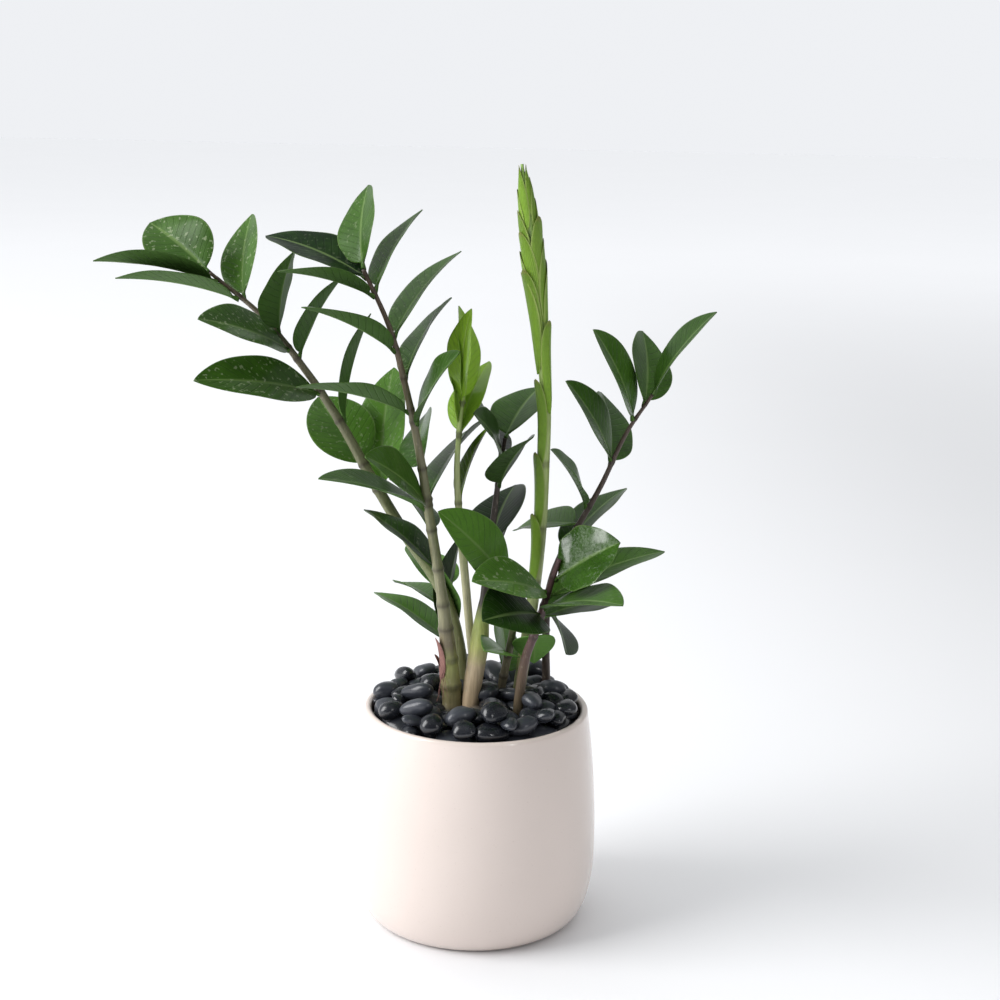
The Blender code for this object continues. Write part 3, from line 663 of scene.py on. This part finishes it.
def pot_profile(settings):
    """(radius, height) points: the inner floor and wall, a round lip, the outside and the foot."""
    lip = settings.wall / 2
    top = POT_TOP - lip
    start = settings.floor + 0.007
    corner = np.linspace(0, math.pi / 2, 7)
    room = pot_radius(settings, np.array([start]))[0] - settings.wall
    floor = np.linspace(0.01, room - 0.008, 5)
    inner_z = np.linspace(start, top, 26)[1:]
    turn = np.linspace(math.pi, 0, 12)[1:-1]
    rim = pot_radius(settings, np.array([top]))[0] - lip
    down = np.linspace(top, settings.belly_height, 28)
    under = settings.belly_height * (1 - np.sin(np.linspace(0, math.pi / 2, 26)))[1:]
    foot = np.linspace(settings.foot_radius - 0.001, 0.01, 5)
    radius = np.concatenate([
        floor, room - 0.008 + 0.008 * np.sin(corner), pot_radius(settings, inner_z) - settings.wall,
        rim + lip * np.cos(turn), pot_radius(settings, down), pot_radius(settings, under), foot])
    height = np.concatenate([
        np.full(5, settings.floor), start - 0.007 * np.cos(corner), inner_z,
        top + lip * np.sin(turn), down, under, np.zeros(5)])
    return radius, height


def turned(radius, height, around=168):
    """Rings of a turned shape: (r cos a, r sin a, z) for each point of the profile."""
    a = circle(around)
    z = np.repeat(height[:, None], around, 1)
    return np.stack([radius[:, None] * np.cos(a), radius[:, None] * np.sin(a), z], -1)


def half_sizes(settings, size):
    return np.array([settings.length, settings.width, settings.height]) * 0.5 * size


def ring_pebbles(settings, room):
    """Centres, half sizes and turns of the ringed pebbles, each a little unlike the next."""
    rows = []
    for ring, (share, count, lift, size) in enumerate(PEBBLE_RINGS):
        for k in range(count):
            wave = math.sin(len(rows) * GOLDEN_ANGLE * 3.7)
            other = math.sin(len(rows) * GOLDEN_ANGLE * 5.3 + 1)
            uneven = np.array([0.18 * wave, 0.14 * other, -0.22 * wave])
            half = half_sizes(settings, size) * (1 + 0.16 * math.sin(len(rows) * 1.9) + uneven)
            angle = 2 * math.pi * k / count + ring * 0.7 + 0.10 * wave
            reach = share / 0.93 * (room - half[0])
            z = BED_TOP + BED_THICKNESS * (2 - share ** 2) + half[2] * (2 * lift - 0.2)
            rows.append((reach * math.cos(angle), reach * math.sin(angle), z, *half,
                         angle + 1.3 + 0.9 * other, 0.22 * other, 0.20 * wave))
    return rows


def small_pebbles(settings, room):
    """Smaller pebbles on a sunflower spiral, on top of the ringed ones."""
    rows = []
    for k in range(settings.small_count):
        share = math.sqrt((k + 0.5) / settings.small_count)
        wave = math.sin(k * 2.9 + 0.4)
        other = math.sin(k * 5.1 + 2.0)
        size = settings.small_size * (1 + 0.34 * wave)
        half = half_sizes(settings, size) * (1 + np.array([0.15 * other, -0.1 * other, 0.18 * wave]))
        angle = k * GOLDEN_ANGLE + 0.5
        reach = share * (room - half[0])
        z = BED_TOP + 0.030 * (1.05 - share ** 2 * 0.35)
        rows.append((reach * math.cos(angle), reach * math.sin(angle), z, *half,
                     angle * 1.7, 0.35 * other, 0.3 * wave))
    return rows


def turns(yaw, pitch, roll):
    """One 3 x 3 matrix for each pebble: about Z, then about its own Y and X."""
    cz, sz, cy, sy, cx, sx = (f(v) for v in (yaw, pitch, roll) for f in (np.cos, np.sin))
    return np.stack([
        np.stack([cz * cy, cz * sy * sx - sz * cx, cz * sy * cx + sz * sx], -1),
        np.stack([sz * cy, sz * sy * sx + cz * cx, sz * sy * cx - cz * sx], -1),
        np.stack([-sy, cy * sx, cy * cx], -1)], -2)


def settle_pebbles(centre, half, turn, room, stems):
    """Pushes overlapping pebbles apart while they sink, and keeps them in the pot.

    A pebble's reach towards a neighbour is 1 / |D R d|, where d is the way to it, R turns into
    the pebble's own axes and D divides by its half sizes."""
    def reach(way):
        own = np.einsum("nji,nmj->nmi", turn, way) / half[:, None]
        return 1 / np.linalg.norm(own, axis=-1)

    bed = BED_TOP + BED_THICKNESS + 0.0005
    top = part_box("pebble_layer")[1].z
    for step in range(SETTLING_STEPS):
        gap = centre[None] - centre[:, None]
        apart = np.linalg.norm(gap, axis=-1) + np.eye(len(centre))
        way = gap / apart[..., None]
        touch = reach(way)
        press = np.clip((touch + touch.T) * CLOSENESS - apart, 0, None)
        np.fill_diagonal(press, 0)
        centre = centre - (way * press[..., None]).sum(1) * PUSH
        centre[:, 2] -= SINK if step < SINKING_STEPS else 0.0
        for place, radius in stems:
            out = centre[:, :2] - place
            far = np.linalg.norm(out, axis=-1, keepdims=True)
            want = radius + half[:, 1:2] * 0.9
            centre[:, :2] += out / far * np.clip(want - far, 0, None)
        far = np.linalg.norm(centre[:, :2], axis=-1, keepdims=True)
        limit = room - half[:, :1] * 0.93
        centre[:, :2] *= np.minimum(1, limit / far)
        low = bed + 0.005 * (1 - (far[:, 0] / room) ** 2) + half[:, 2] * 0.6
        centre[:, 2] = np.clip(centre[:, 2], low, top - half[:, 2] * 0.8)
    return centre


def pebble_rings(centre, half, turn, rows, around):
    """Rings of each pebble: a ball swollen by three slow waves, stretched, turned and placed."""
    tilt = np.linspace(-math.pi / 2, math.pi / 2, rows + 2)[1:-1, None]
    round_ = circle(around)[None]
    ball = np.stack([np.cos(tilt) * np.cos(round_), np.cos(tilt) * np.sin(round_),
                     np.sin(tilt) + 0 * round_], -1)
    n = np.arange(len(centre))[:, None, None]
    x, y, z = (ball[None, ..., k] for k in range(3))
    swell = 1 + 0.09 * np.sin(2.1 * x + 1.3 * y + n) + 0.08 * np.sin(1.7 * y - 2.3 * z + 2.7 * n)
    swell = swell + 0.06 * np.sin(3.1 * x - 2.9 * y + 1.9 * n)
    stone = ball[None] * swell[..., None] * half[:, None, None]
    return centre[:, None, None] + np.einsum("nij,nabj->nabi", turn, stone)


# ------------------------------------------------------------------ leaflets
LEAF_STATIONS, LEAF_ACROSS = 46, 12     # sections along a blade, steps across each half
SCALE_STATIONS, SCALE_ACROSS = 30, 8    # the same for a scale wrapped round a stem


def leaf_stations(count):
    """Shares of a blade's length, closer together near its two ends."""
    t = np.linspace(0, 1, count)
    return 0.5 * t + 0.25 * (1 - np.cos(math.pi * t))


def leaf_across(count):
    """Once round a section: the share of the half width, then 1 for the upper face, -1 below.

    On each side the share is (1 - cos(pi t)) / 2, which is close-set at midrib and margin."""
    t = np.linspace(-1, 1, 2 * count + 1)
    share = np.sign(t) * (1 - np.cos(math.pi * t)) / 2
    round_ = np.concatenate([share, share[::-1][1:-1]])
    face = np.concatenate([np.ones(len(share)), -np.ones(len(share) - 2)])
    return round_, face


def leaf_half_width(u, length, width, stalk=0.004):
    """A little stalk, then width * v^0.62 * (1 - v)^0.80, scaled to its own peak."""
    v = np.clip(u - stalk / length, 0, 1) / (1 - stalk / length)
    peak = 0.62 / 1.42
    blade = v ** 0.62 * (1 - v) ** 0.80 / (peak ** 0.62 * (1 - peak) ** 0.80)
    least = 0.00105 * (1 - u) + 0.00012 * u
    return np.maximum(0.5 * width * blade, least)


def leaf_rings(settings, blade, seed, crinkle=0.0):
    """Rings of a blade along +X, placed on its own axes.

    Height above the chord is arch + fold + ripple, plus or minus half the thickness, less a
    groove along the midrib above and a rib below. Fold is tan(angle) * (sqrt(y^2 + soft^2) -
    soft), ripple is a sine along the blade times the square of the share across."""
    length, width = blade["length"], blade["width"]
    u = leaf_stations(LEAF_STATIONS)[:, None]
    share, face = leaf_across(LEAF_ACROSS)
    half = leaf_half_width(u, length, width)
    bend = 0.02 * math.sin(seed * 2.3) * length * (u ** 2 - u)
    y = share * half
    soft = 0.0014
    fold = math.tan(settings.fold) * (np.sqrt(y ** 2 + soft ** 2) - soft)
    wave = np.sin(2 * math.pi * (u * (1.6 + 0.5 * math.sin(seed)) + 0.37 * seed + 0.21 * np.sign(y)))
    ripple = settings.ripple * wave * share ** 2 * np.sin(math.pi * u)
    crinkles = np.sin(2 * math.pi * (3.3 * u + 0.2 * np.sign(y) + 0.1 * seed))
    ripple = ripple + crinkle * share ** 2 * crinkles
    arch = settings.arch * length * 4 * u * (1 - u)
    thick = settings.thickness * (1.25 - 0.5 * u) * np.sqrt(1 - share ** 4)
    stalk = np.exp(-(u * length / 0.004) ** 2)
    groove = 0.00032 * np.exp(-(y / 0.0011) ** 2) * (1 - u) ** 0.5 * (1 - stalk)
    rib = 0.00055 * np.exp(-(y / 0.0010) ** 2) * (1 - 0.8 * u) + 0.0007 * stalk
    z = arch + fold + ripple + face * (thick / 2 + 0.0004 * stalk * np.sqrt(1 - share ** 4))
    z = z - np.where(face > 0, groove, rib) * np.sqrt(1 - share ** 4)
    x = np.repeat(u * length, len(share), 1)
    local = np.stack([x, y + bend, z], -1)
    return blade["base"] + local @ np.stack([blade["ahead"], blade["across"], blade["face"]])


def blade_map(stations, across):
    """Each point's share along, share across and face (0 below, 1 above), with the two ends."""
    share, face = leaf_across(across)
    u = leaf_stations(stations)[:, None]
    return with_ends(np.stack(np.broadcast_arrays(u, 0.5 + 0.5 * share, 0.5 + 0.5 * face), -1))


def leaf_marks(name):
    """A blade's marks (the face that each point is on, its tone and specks) and its map."""
    frond = name.split("_leaflet")[0].split("_blade")[0]
    # A listed leaflet's tone is partly its own green and partly painted light and shade.
    tone, speck = LEAFLET_TONES_WITH_PAINTED_LIGHT.get(name, FROND_TONES[frond])
    number = int(name[-2:])
    values = blade_map(LEAF_STATIONS, LEAF_ACROSS)
    size = len(values)
    tone = tone + 0.07 * math.sin(number * 2.4)
    marks = {"upper": values[:, 2], "tone": np.full(size, tone), "speck": np.full(size, speck)}
    return marks, values[:, :2]


def read_leaflet(node, stem):
    """Base, axes, length and width of a blade, read from its solid in the frame.

    Its length is the solid's longest axis, and its base the end that is nearer the stem. The
    middle section gives the rest: the way from edge to edge, and the side that the fold opens to."""
    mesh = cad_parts[node].data
    points = np.empty(len(mesh.vertices) * 3, np.float32)
    mesh.vertices.foreach_get("co", points)
    points = np.unique(points.reshape(-1, 3).astype(float).round(6), axis=0)
    ahead = np.linalg.svd(points - points.mean(0), full_matrices=False)[2][0]
    reach = points @ ahead
    tip_depth = 0.0006
    ends = [points[reach < reach.min() + tip_depth], points[reach > reach.max() - tip_depth]]
    base, tip = sorted((end.mean(0) for end in ends),
                       key=lambda end: np.linalg.norm(stem - end, axis=1).min())
    length = np.linalg.norm(tip - base)
    ahead = (tip - base) / length
    middle = points[np.abs((points - base) @ ahead / length - 0.5) < 0.05]
    middle = middle - middle.mean(0)
    middle = middle - np.outer(middle @ ahead, ahead)
    across = np.linalg.svd(middle, full_matrices=False)[2][0]
    y = middle @ across
    outer = np.abs(y) > 0.7 * np.abs(y).max()
    face = middle[outer].mean(0) - middle[~outer].mean(0)
    face = unit(face - across * (face @ across))
    return {"base": base, "ahead": ahead, "across": np.cross(face, ahead), "face": face,
            "length": length, "width": y.max() - y.min()}


def shoot_blade(line, row):
    """Base, axes, length and width of a blade from its row in BLADES."""
    share, heading, rise, length, width, roll = row
    head, up, turn = (math.radians(v) for v in (heading, rise, roll))
    ahead = np.array([math.cos(up) * math.cos(head), math.cos(up) * math.sin(head), math.sin(up)])
    upper = unit(np.array([0, 0, 1.0]) - ahead * ahead[2])
    face = upper * math.cos(turn) + np.cross(ahead, upper) * math.sin(turn)
    base = line[int(round(share * (len(line) - 1)))]
    return {"base": base, "ahead": ahead, "across": np.cross(face, ahead), "face": face,
            "length": length * 0.001, "width": width * 0.001}


def reach_back(blade, depth):
    """The same blade, its stalk begun this much deeper, inside the stem."""
    return {**blade, "base": blade["base"] - blade["ahead"] * depth, "length": blade["length"] + depth}


# ------------------------------------------------------------------ stems
def stem_line(name, count=150):
    return smooth_line(STEMS[name]["points"], count)


def stem_radius(name, share):
    return along(STEMS[name]["girth"], share)[:, 0] * 0.001


def stem_rings(name, knuckles, swell, around=28):
    """Rings of a stem: its girth, swollen a little where a leaflet joins, and its buried end.

    A knuckle adds swell * exp(-(distance / 1.6 mm)^2) to the radius as a share of it, and the
    skin has a shallow ridge and hollow that wander round it."""
    stem = STEMS[name]
    line = stem_line(name)
    share = np.linspace(0, 1, len(line))
    run = np.linalg.norm(np.diff(line, axis=0), axis=1).sum() * share
    marks = run[-1] * np.array([*knuckles, *stem.get("scars", ()), -1.0])
    bumps = np.exp(-((run[:, None] - marks) / 0.0016) ** 2).sum(1)
    radius = stem_radius(name, share) * (1 + swell * bumps)
    root = np.array([line[0, 0], line[0, 1], BED_TOP - ROOT_DEPTH])
    line = np.vstack([root, root + (line[0] - root) * 0.5, line])
    radius = np.concatenate([radius[:1] * 0.8, radius[:1] * 0.95, radius])
    share = np.concatenate([[0.0, 0.0], share])
    bumps = np.concatenate([[0.0, 0.0], bumps])
    a = circle(around)
    ridges = 1 + 0.035 * np.sin(3 * a + share[:, None] * 9) + 0.02 * np.sin(7 * a - share[:, None] * 5)
    rings = line[:, None] + spokes(*line_axes(line), a[None]) * (radius[:, None] * ridges)[..., None]
    skin = np.repeat(along(stem["skin"], share)[:, None], around, 1)
    ring = np.repeat(np.clip(bumps, 0, 1)[:, None, None], around, 1)
    return rings, with_ends(skin), with_ends(ring)[:, 0]


def build_stem(name, piece, node, knuckles, swell):
    rings, skin, ring = stem_rings(name, knuckles, swell)
    material = bpy.data.materials["stem_skin"]
    make_piece(piece, node, rings, material, {"ring": ring * 0.8}, skin=skin)


def build_blade(name, blade, material, settings, node):
    marks, uv = leaf_marks(name)
    seed = int(name[-2:]) + 5 * len(name)
    rings = leaf_rings(settings, blade, seed, CRINKLED.get(name, 0.0))
    make_piece(name + "_skin", node, rings, material, marks, uv=uv)


def scale_rings(line, radius, start, length, heading, spread, lift, flare):
    """Rings of one scale wrapped round a stem.

    At a share u along and a share s across, the angle round the stem is heading + s * spread *
    (4v(1 - v))^0.6 with v = u^0.8. The distance out is the stem's radius, plus lift * u, plus
    flare * u^4, a keel on the middle, and plus or minus half a thickness that thins to nothing
    at the base and the margins."""
    u = leaf_stations(SCALE_STATIONS)[:, None]
    share, face = leaf_across(SCALE_ACROSS)
    v = u ** 0.8
    angle = heading + share * spread * (4 * v * (1 - v) + 0.0004) ** 0.6
    place = np.clip((start + length * u[:, 0]) * (len(line) - 1), 0, len(line) - 1)
    index = np.arange(len(line))
    centre = rows_at(place, index, line)
    out = np.interp(place, index, radius)
    side, front = (rows_at(place, index, axis) for axis in line_axes(line))
    thick = 0.0007 * np.sqrt(1 - share ** 4) * (1 - 0.6 * u) * np.minimum(1, 0.1 + 6 * u)
    keel = 0.0007 * np.exp(-(share / 0.16) ** 2) * (1 - u)
    away = out[:, None] + 0.0002 + lift * u + flare * u ** 4 + face * thick / 2 + keel
    return centre[:, None] + spokes(side, front, angle) * away[..., None]


def fibre_rings(start, way, length, curl, around=6):
    """Rings of a dry fibre: start + way * length * t, swung sideways by curl * sin(3t)."""
    t = np.linspace(0, 1, 14)[:, None]
    swing = np.array([1.0, 0.3, 0.0]) * curl * np.sin(3 * t) + np.array([0, -0.5, 0.3]) * curl * t ** 2
    line = start + np.array(way) * length * t + swing
    thin = (FIBRE_RADIUS * (1 - 0.6 * t))[..., None]
    return line[:, None] + spokes(*line_axes(line), circle(around)[None]) * thin


# ------------------------------------------------------------------ operators
class ZZ_OT_pot(bpy.types.Operator):
    """Build the glazed pot"""
    bl_idname = "zz_plant.pot"
    bl_label = "Pot"

    def execute(self, context):
        settings = context.scene.zz_pot
        radius, height = pot_profile(settings)
        make_piece("glazed_pot", "pot", turned(radius, height), glaze_paint(settings))
        return {"FINISHED"}


class ZZ_OT_soil(bpy.types.Operator):
    """Give the soil its material"""
    bl_idname = "zz_plant.soil"
    bl_label = "Soil"

    def execute(self, context):
        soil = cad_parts["soil"]
        soil.data.materials.clear()
        soil.data.materials.append(soil_paint())
        return {"FINISHED"}


class ZZ_OT_pebbles(bpy.types.Operator):
    """Build the river pebbles and the fine stones they lie in"""
    bl_idname = "zz_plant.pebbles"
    bl_label = "Pebbles"

    def execute(self, context):
        settings = context.scene.zz_pebbles
        pot = context.scene.zz_pot
        room = float(pot_radius(pot, np.array([BED_TOP + 0.012]))[0]) - pot.wall - 2 * GAP
        rows = np.array(ring_pebbles(settings, room) + small_pebbles(settings, room))
        centre, half = rows[:, :3], rows[:, 3:6]
        turn = turns(*rows[:, 6:].T)
        stems = [(np.array(s["points"][0][:2]) * 0.001, s["girth"][0][1] * 0.001)
                 for s in STEMS.values()]
        centre = settle_pebbles(centre, half, turn, room, stems)
        stones = list(pebble_rings(centre, half, turn, 16, 26))
        share = np.linspace(0.15, 1, 10)
        low = BED_TOP + GAP
        bed = low + BED_THICKNESS + 0.004 * (1 - share ** 2)
        radius = np.concatenate([share * (room - 0.0004), [room - 0.0004, 0.01]])
        height = np.concatenate([bed, [low, low]])
        stones.append(turned(radius, height, 72))
        sizes = [s.shape[0] * s.shape[1] + 2 for s in stones]
        tones = 0.5 + 0.5 * np.sin(np.arange(len(sizes)) * 2.7 + 0.6)
        tones[-1] = 0.0
        make_piece("river_pebbles", "pebble_layer", stones, pebble_paint(settings),
                   {"tone": np.repeat(tones ** 1.6, sizes)})
        return {"FINISHED"}


class ZZ_OT_fronds(bpy.types.Operator):
    """Build the five mature fronds: each stem and its leaflets"""
    bl_idname = "zz_plant.fronds"
    bl_label = "Mature fronds"

    def execute(self, context):
        leaves = context.scene.zz_leaves
        shades = (leaves.dark, leaves.bright, leaves.under, leaves.rib)
        plain = leaf_paint("mature_leaf", *shades)
        glossy = leaf_paint("glossy_leaf", *shades, gloss=1.0)
        stem_paint()
        for name in MATURE:
            line = stem_line(name)
            knuckles = []
            for node in sorted(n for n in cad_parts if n.startswith(name + "_leaflet_")):
                blade = read_leaflet(node, line)
                nearest = np.linalg.norm(line - blade["base"], axis=1)
                knuckles.append(nearest.argmin() / (len(line) - 1))
                blade = reach_back(blade, min(float(nearest.min()), 0.006) * 0.8)
                build_blade(node, blade, glossy if node in CRINKLED else plain, leaves, node)
            build_stem(name, name + "_stem_skin", name + "_stem", knuckles,
                       context.scene.zz_stems.knuckle)
        return {"FINISHED"}


class ZZ_OT_shoots(bpy.types.Operator):
    """Build the young shoot and the two sprouts"""
    bl_idname = "zz_plant.shoots"
    bl_label = "Young shoots"

    def execute(self, context):
        leaves = context.scene.zz_leaves
        young = leaf_paint("young_leaf", tinted(leaves.young, 0.62), tinted(leaves.young, 1.35),
                           YOUNG_UNDER, YOUNG_RIB)
        finishes = {"young_shoot": (young, "young_leaf")}
        green = (bpy.data.materials["mature_leaf"], "leaf")
        for name in ("young_shoot", "centre_sprout", "back_sprout"):
            line = stem_line(name)
            rows = BLADES[name]
            paint, slot = finishes.get(name, green)
            for k, row in enumerate(rows):
                blade = shoot_blade(line, row)
                build_blade(f"{name}_blade_{k + 1:02d}", blade, paint, leaves, name)
            build_stem(name, name + "_stem", name, [row[0] for row in rows],
                       context.scene.zz_stems.knuckle)
        return {"FINISHED"}


class ZZ_OT_spear(bpy.types.Operator):
    """Build the new upright shoot, its pressed leaflets and its spear of wrapped scales"""
    bl_idname = "zz_plant.spear"
    bl_label = "New shoot"

    def execute(self, context):
        name = "new_shoot"
        count = context.scene.zz_stems.scales
        line = stem_line(name)
        radius = stem_radius(name, np.linspace(0, 1, len(line)))
        sets = []
        for share, heading, _, length, _, _ in BLADES[name]:
            sideways = 0.75 if 90 < heading < 270 else math.pi - 0.75
            sets.append(scale_rings(line, radius, share - 0.01, length * SHOOT_MM, sideways, 1.15,
                                    0.0012, 0.0026))
        for k in range(count):
            climb = k / (count - 1)
            start = 0.64 + 0.29 * climb
            length = min(0.180 - 0.080 * climb, 0.999 - start)
            heading = math.pi * (k % 2) + 0.45 * math.sin(k * 2.1) + 0.15
            sets.append(scale_rings(line, radius, start, length, heading, 1.55 - 0.25 * climb,
                                    0.0024 - 0.0015 * climb, 0.0006 * (1 - climb)))
        values = blade_map(SCALE_STATIONS, SCALE_ACROSS)
        tones = np.repeat(0.45 + 0.40 * np.sin(np.arange(len(sets)) * 2.2), len(values))
        make_piece(name + "_scales", name, sets, scale_paint(context.scene.zz_leaves),
                   {"tone": tones}, uv=np.tile(values[:, :2], (len(sets), 1)))
        build_stem(name, name + "_stem", name, [row[0] for row in BLADES[name]], 0.0)
        return {"FINISHED"}


class ZZ_OT_sheath(bpy.types.Operator):
    """Build the dry sheath that peels off the tall stem, with its loose fibres"""
    bl_idname = "zz_plant.sheath"
    bl_label = "Dry sheath"

    def execute(self, context):
        settings = context.scene.zz_stems
        line = stem_line("tall")
        radius = stem_radius("tall", np.linspace(0, 1, len(line)))
        sets = [scale_rings(line, radius, 0.105, 0.095, 0.45, 0.75, 0.0006, 0.0022),
                scale_rings(line, radius, 0.095, 0.060, -0.20, 0.50, 0.0010, 0.0026)]
        torn = line[int(0.09 * len(line))] + np.array([-0.0065, -0.001, 0.0])
        for k in range(settings.fibres):
            start = torn + np.array([0.0003 * k, -0.0008 * k, 0.0022 * k])
            sets.append(fibre_rings(start, (-0.25 + 0.09 * k, -0.2, -1.0), 0.011 + 0.0012 * k,
                                    0.0012 * math.sin(k * 2.3 + 1)))
        make_piece("tall_stem_sheath", "tall_stem", sets, sheath_paint(settings))
        return {"FINISHED"}


class ZZ_OT_stage(bpy.types.Operator):
    """Set up the floor, the lights and the camera"""
    bl_idname = "zz_plant.stage"
    bl_label = "Stage"

    def execute(self, context):
        settings = context.scene.zz_stage
        half = settings.floor_size / 2
        mesh = bpy.data.meshes.new("floor")
        mesh.from_pydata([(-half, -half, 0), (half, -half, 0), (half, half, 0), (-half, half, 0)],
                         [], [(0, 1, 2, 3)])
        mesh.materials.append(floor_paint_with_painted_shade(settings))
        add_object("floor", mesh)

        context.scene.world = build_sky(settings)
        add_light("window", (-3.125, -0.875, 2.075), (0.0, 0.0, 0.20), (2.25, 3.25), settings.window)
        add_light("streak", (0.75, -1.0, 0.62), (0.0, 0.0, 0.10), (0.035, 0.5), settings.streak)

        lens = bpy.data.cameras.new("camera")
        lens.lens = settings.lens
        lens.sensor_width = 36.0
        camera = add_object("camera", lens)
        camera.matrix_world = (Matrix.Translation(CAMERA_PLACE)
                               @ Matrix.Rotation(CAMERA_TILT, 4, "X")
                               @ Matrix.Rotation(CAMERA_ROLL, 4, "Z"))
        context.scene.camera = camera
        context.scene.view_settings.view_transform = "Standard"
        return {"FINISHED"}


def build_sky(settings):
    """Light from all round: its strength is a plane in the direction (x, y, z), brighter from
    behind, above and the left, and mirrored rays find it dimmer, as in a room. The view itself
    sees one even pale tone."""
    sky = Paint(bpy.data.worlds.new("sky"))
    way = sky.node("ShaderNodeTexCoord", output="Generated")
    slope = sky.node("ShaderNodeVectorMath", {"operation": "DOT_PRODUCT"},
                     {0: way, 1: SKY_SLOPE}, output="Value")
    mirrored = sky.node("ShaderNodeLightPath", output="Is Glossy Ray")
    strength = (slope + SKY_LEVEL) * (1.0 - mirrored * settings.mirror_dim) * settings.sky
    light = sky.node("ShaderNodeBackground", sockets={"Color": SKY_COLOUR, "Strength": strength})
    seen = sky.node("ShaderNodeBackground", sockets={"Color": settings.backdrop})
    straight = sky.node("ShaderNodeLightPath", output="Is Camera Ray")
    both = sky.node("ShaderNodeMixShader", sockets={0: straight, 1: light, 2: seen})
    sky.feed(sky.tree.nodes["World Output"].inputs["Surface"], both)
    return sky.owner


def add_light(name, place, target, size, power):
    """A soft rectangular light that faces a point."""
    data = bpy.data.lights.new(name, "AREA")
    data.shape = "RECTANGLE"
    data.size, data.size_y = size
    data.energy = power
    way = Vector(place) - Vector(target)
    turn = way.to_track_quat("Z", "Y").to_matrix().to_4x4()
    add_object(name, data).matrix_world = Matrix.Translation(place) @ turn


class ZZ_PT_plant(bpy.types.Panel):
    """Lists the plant's pieces"""
    bl_label = "ZZ Plant"
    bl_idname = "ZZ_PT_plant"
    bl_space_type = "VIEW_3D"
    bl_region_type = "UI"
    bl_category = "ZZ Plant"

    def draw(self, context):
        for operator in PIECES:
            self.layout.operator(operator.bl_idname)


SETTINGS = {"zz_pot": ZZPotSettings, "zz_pebbles": ZZPebbleSettings, "zz_leaves": ZZLeafSettings,
            "zz_stems": ZZStemSettings, "zz_stage": ZZStageSettings}
PIECES = (ZZ_OT_pot, ZZ_OT_soil, ZZ_OT_pebbles, ZZ_OT_fronds, ZZ_OT_shoots, ZZ_OT_spear,
          ZZ_OT_sheath, ZZ_OT_stage)


def register():
    for name, group in SETTINGS.items():
        bpy.utils.register_class(group)
        setattr(bpy.types.Scene, name, bpy.props.PointerProperty(type=group))
    for operator in PIECES:
        bpy.utils.register_class(operator)
    bpy.utils.register_class(ZZ_PT_plant)


def unregister():
    bpy.utils.unregister_class(ZZ_PT_plant)
    for operator in reversed(PIECES):
        bpy.utils.unregister_class(operator)
    for name, group in SETTINGS.items():
        delattr(bpy.types.Scene, name)
        bpy.utils.unregister_class(group)


def main():
    register()
    bpy.ops.zz_plant.pot()
    bpy.ops.zz_plant.soil()
    bpy.ops.zz_plant.pebbles()
    bpy.ops.zz_plant.fronds()
    bpy.ops.zz_plant.shoots()
    bpy.ops.zz_plant.spear()
    bpy.ops.zz_plant.sheath()
    bpy.ops.zz_plant.stage()


if __name__ == "__main__":
    main()
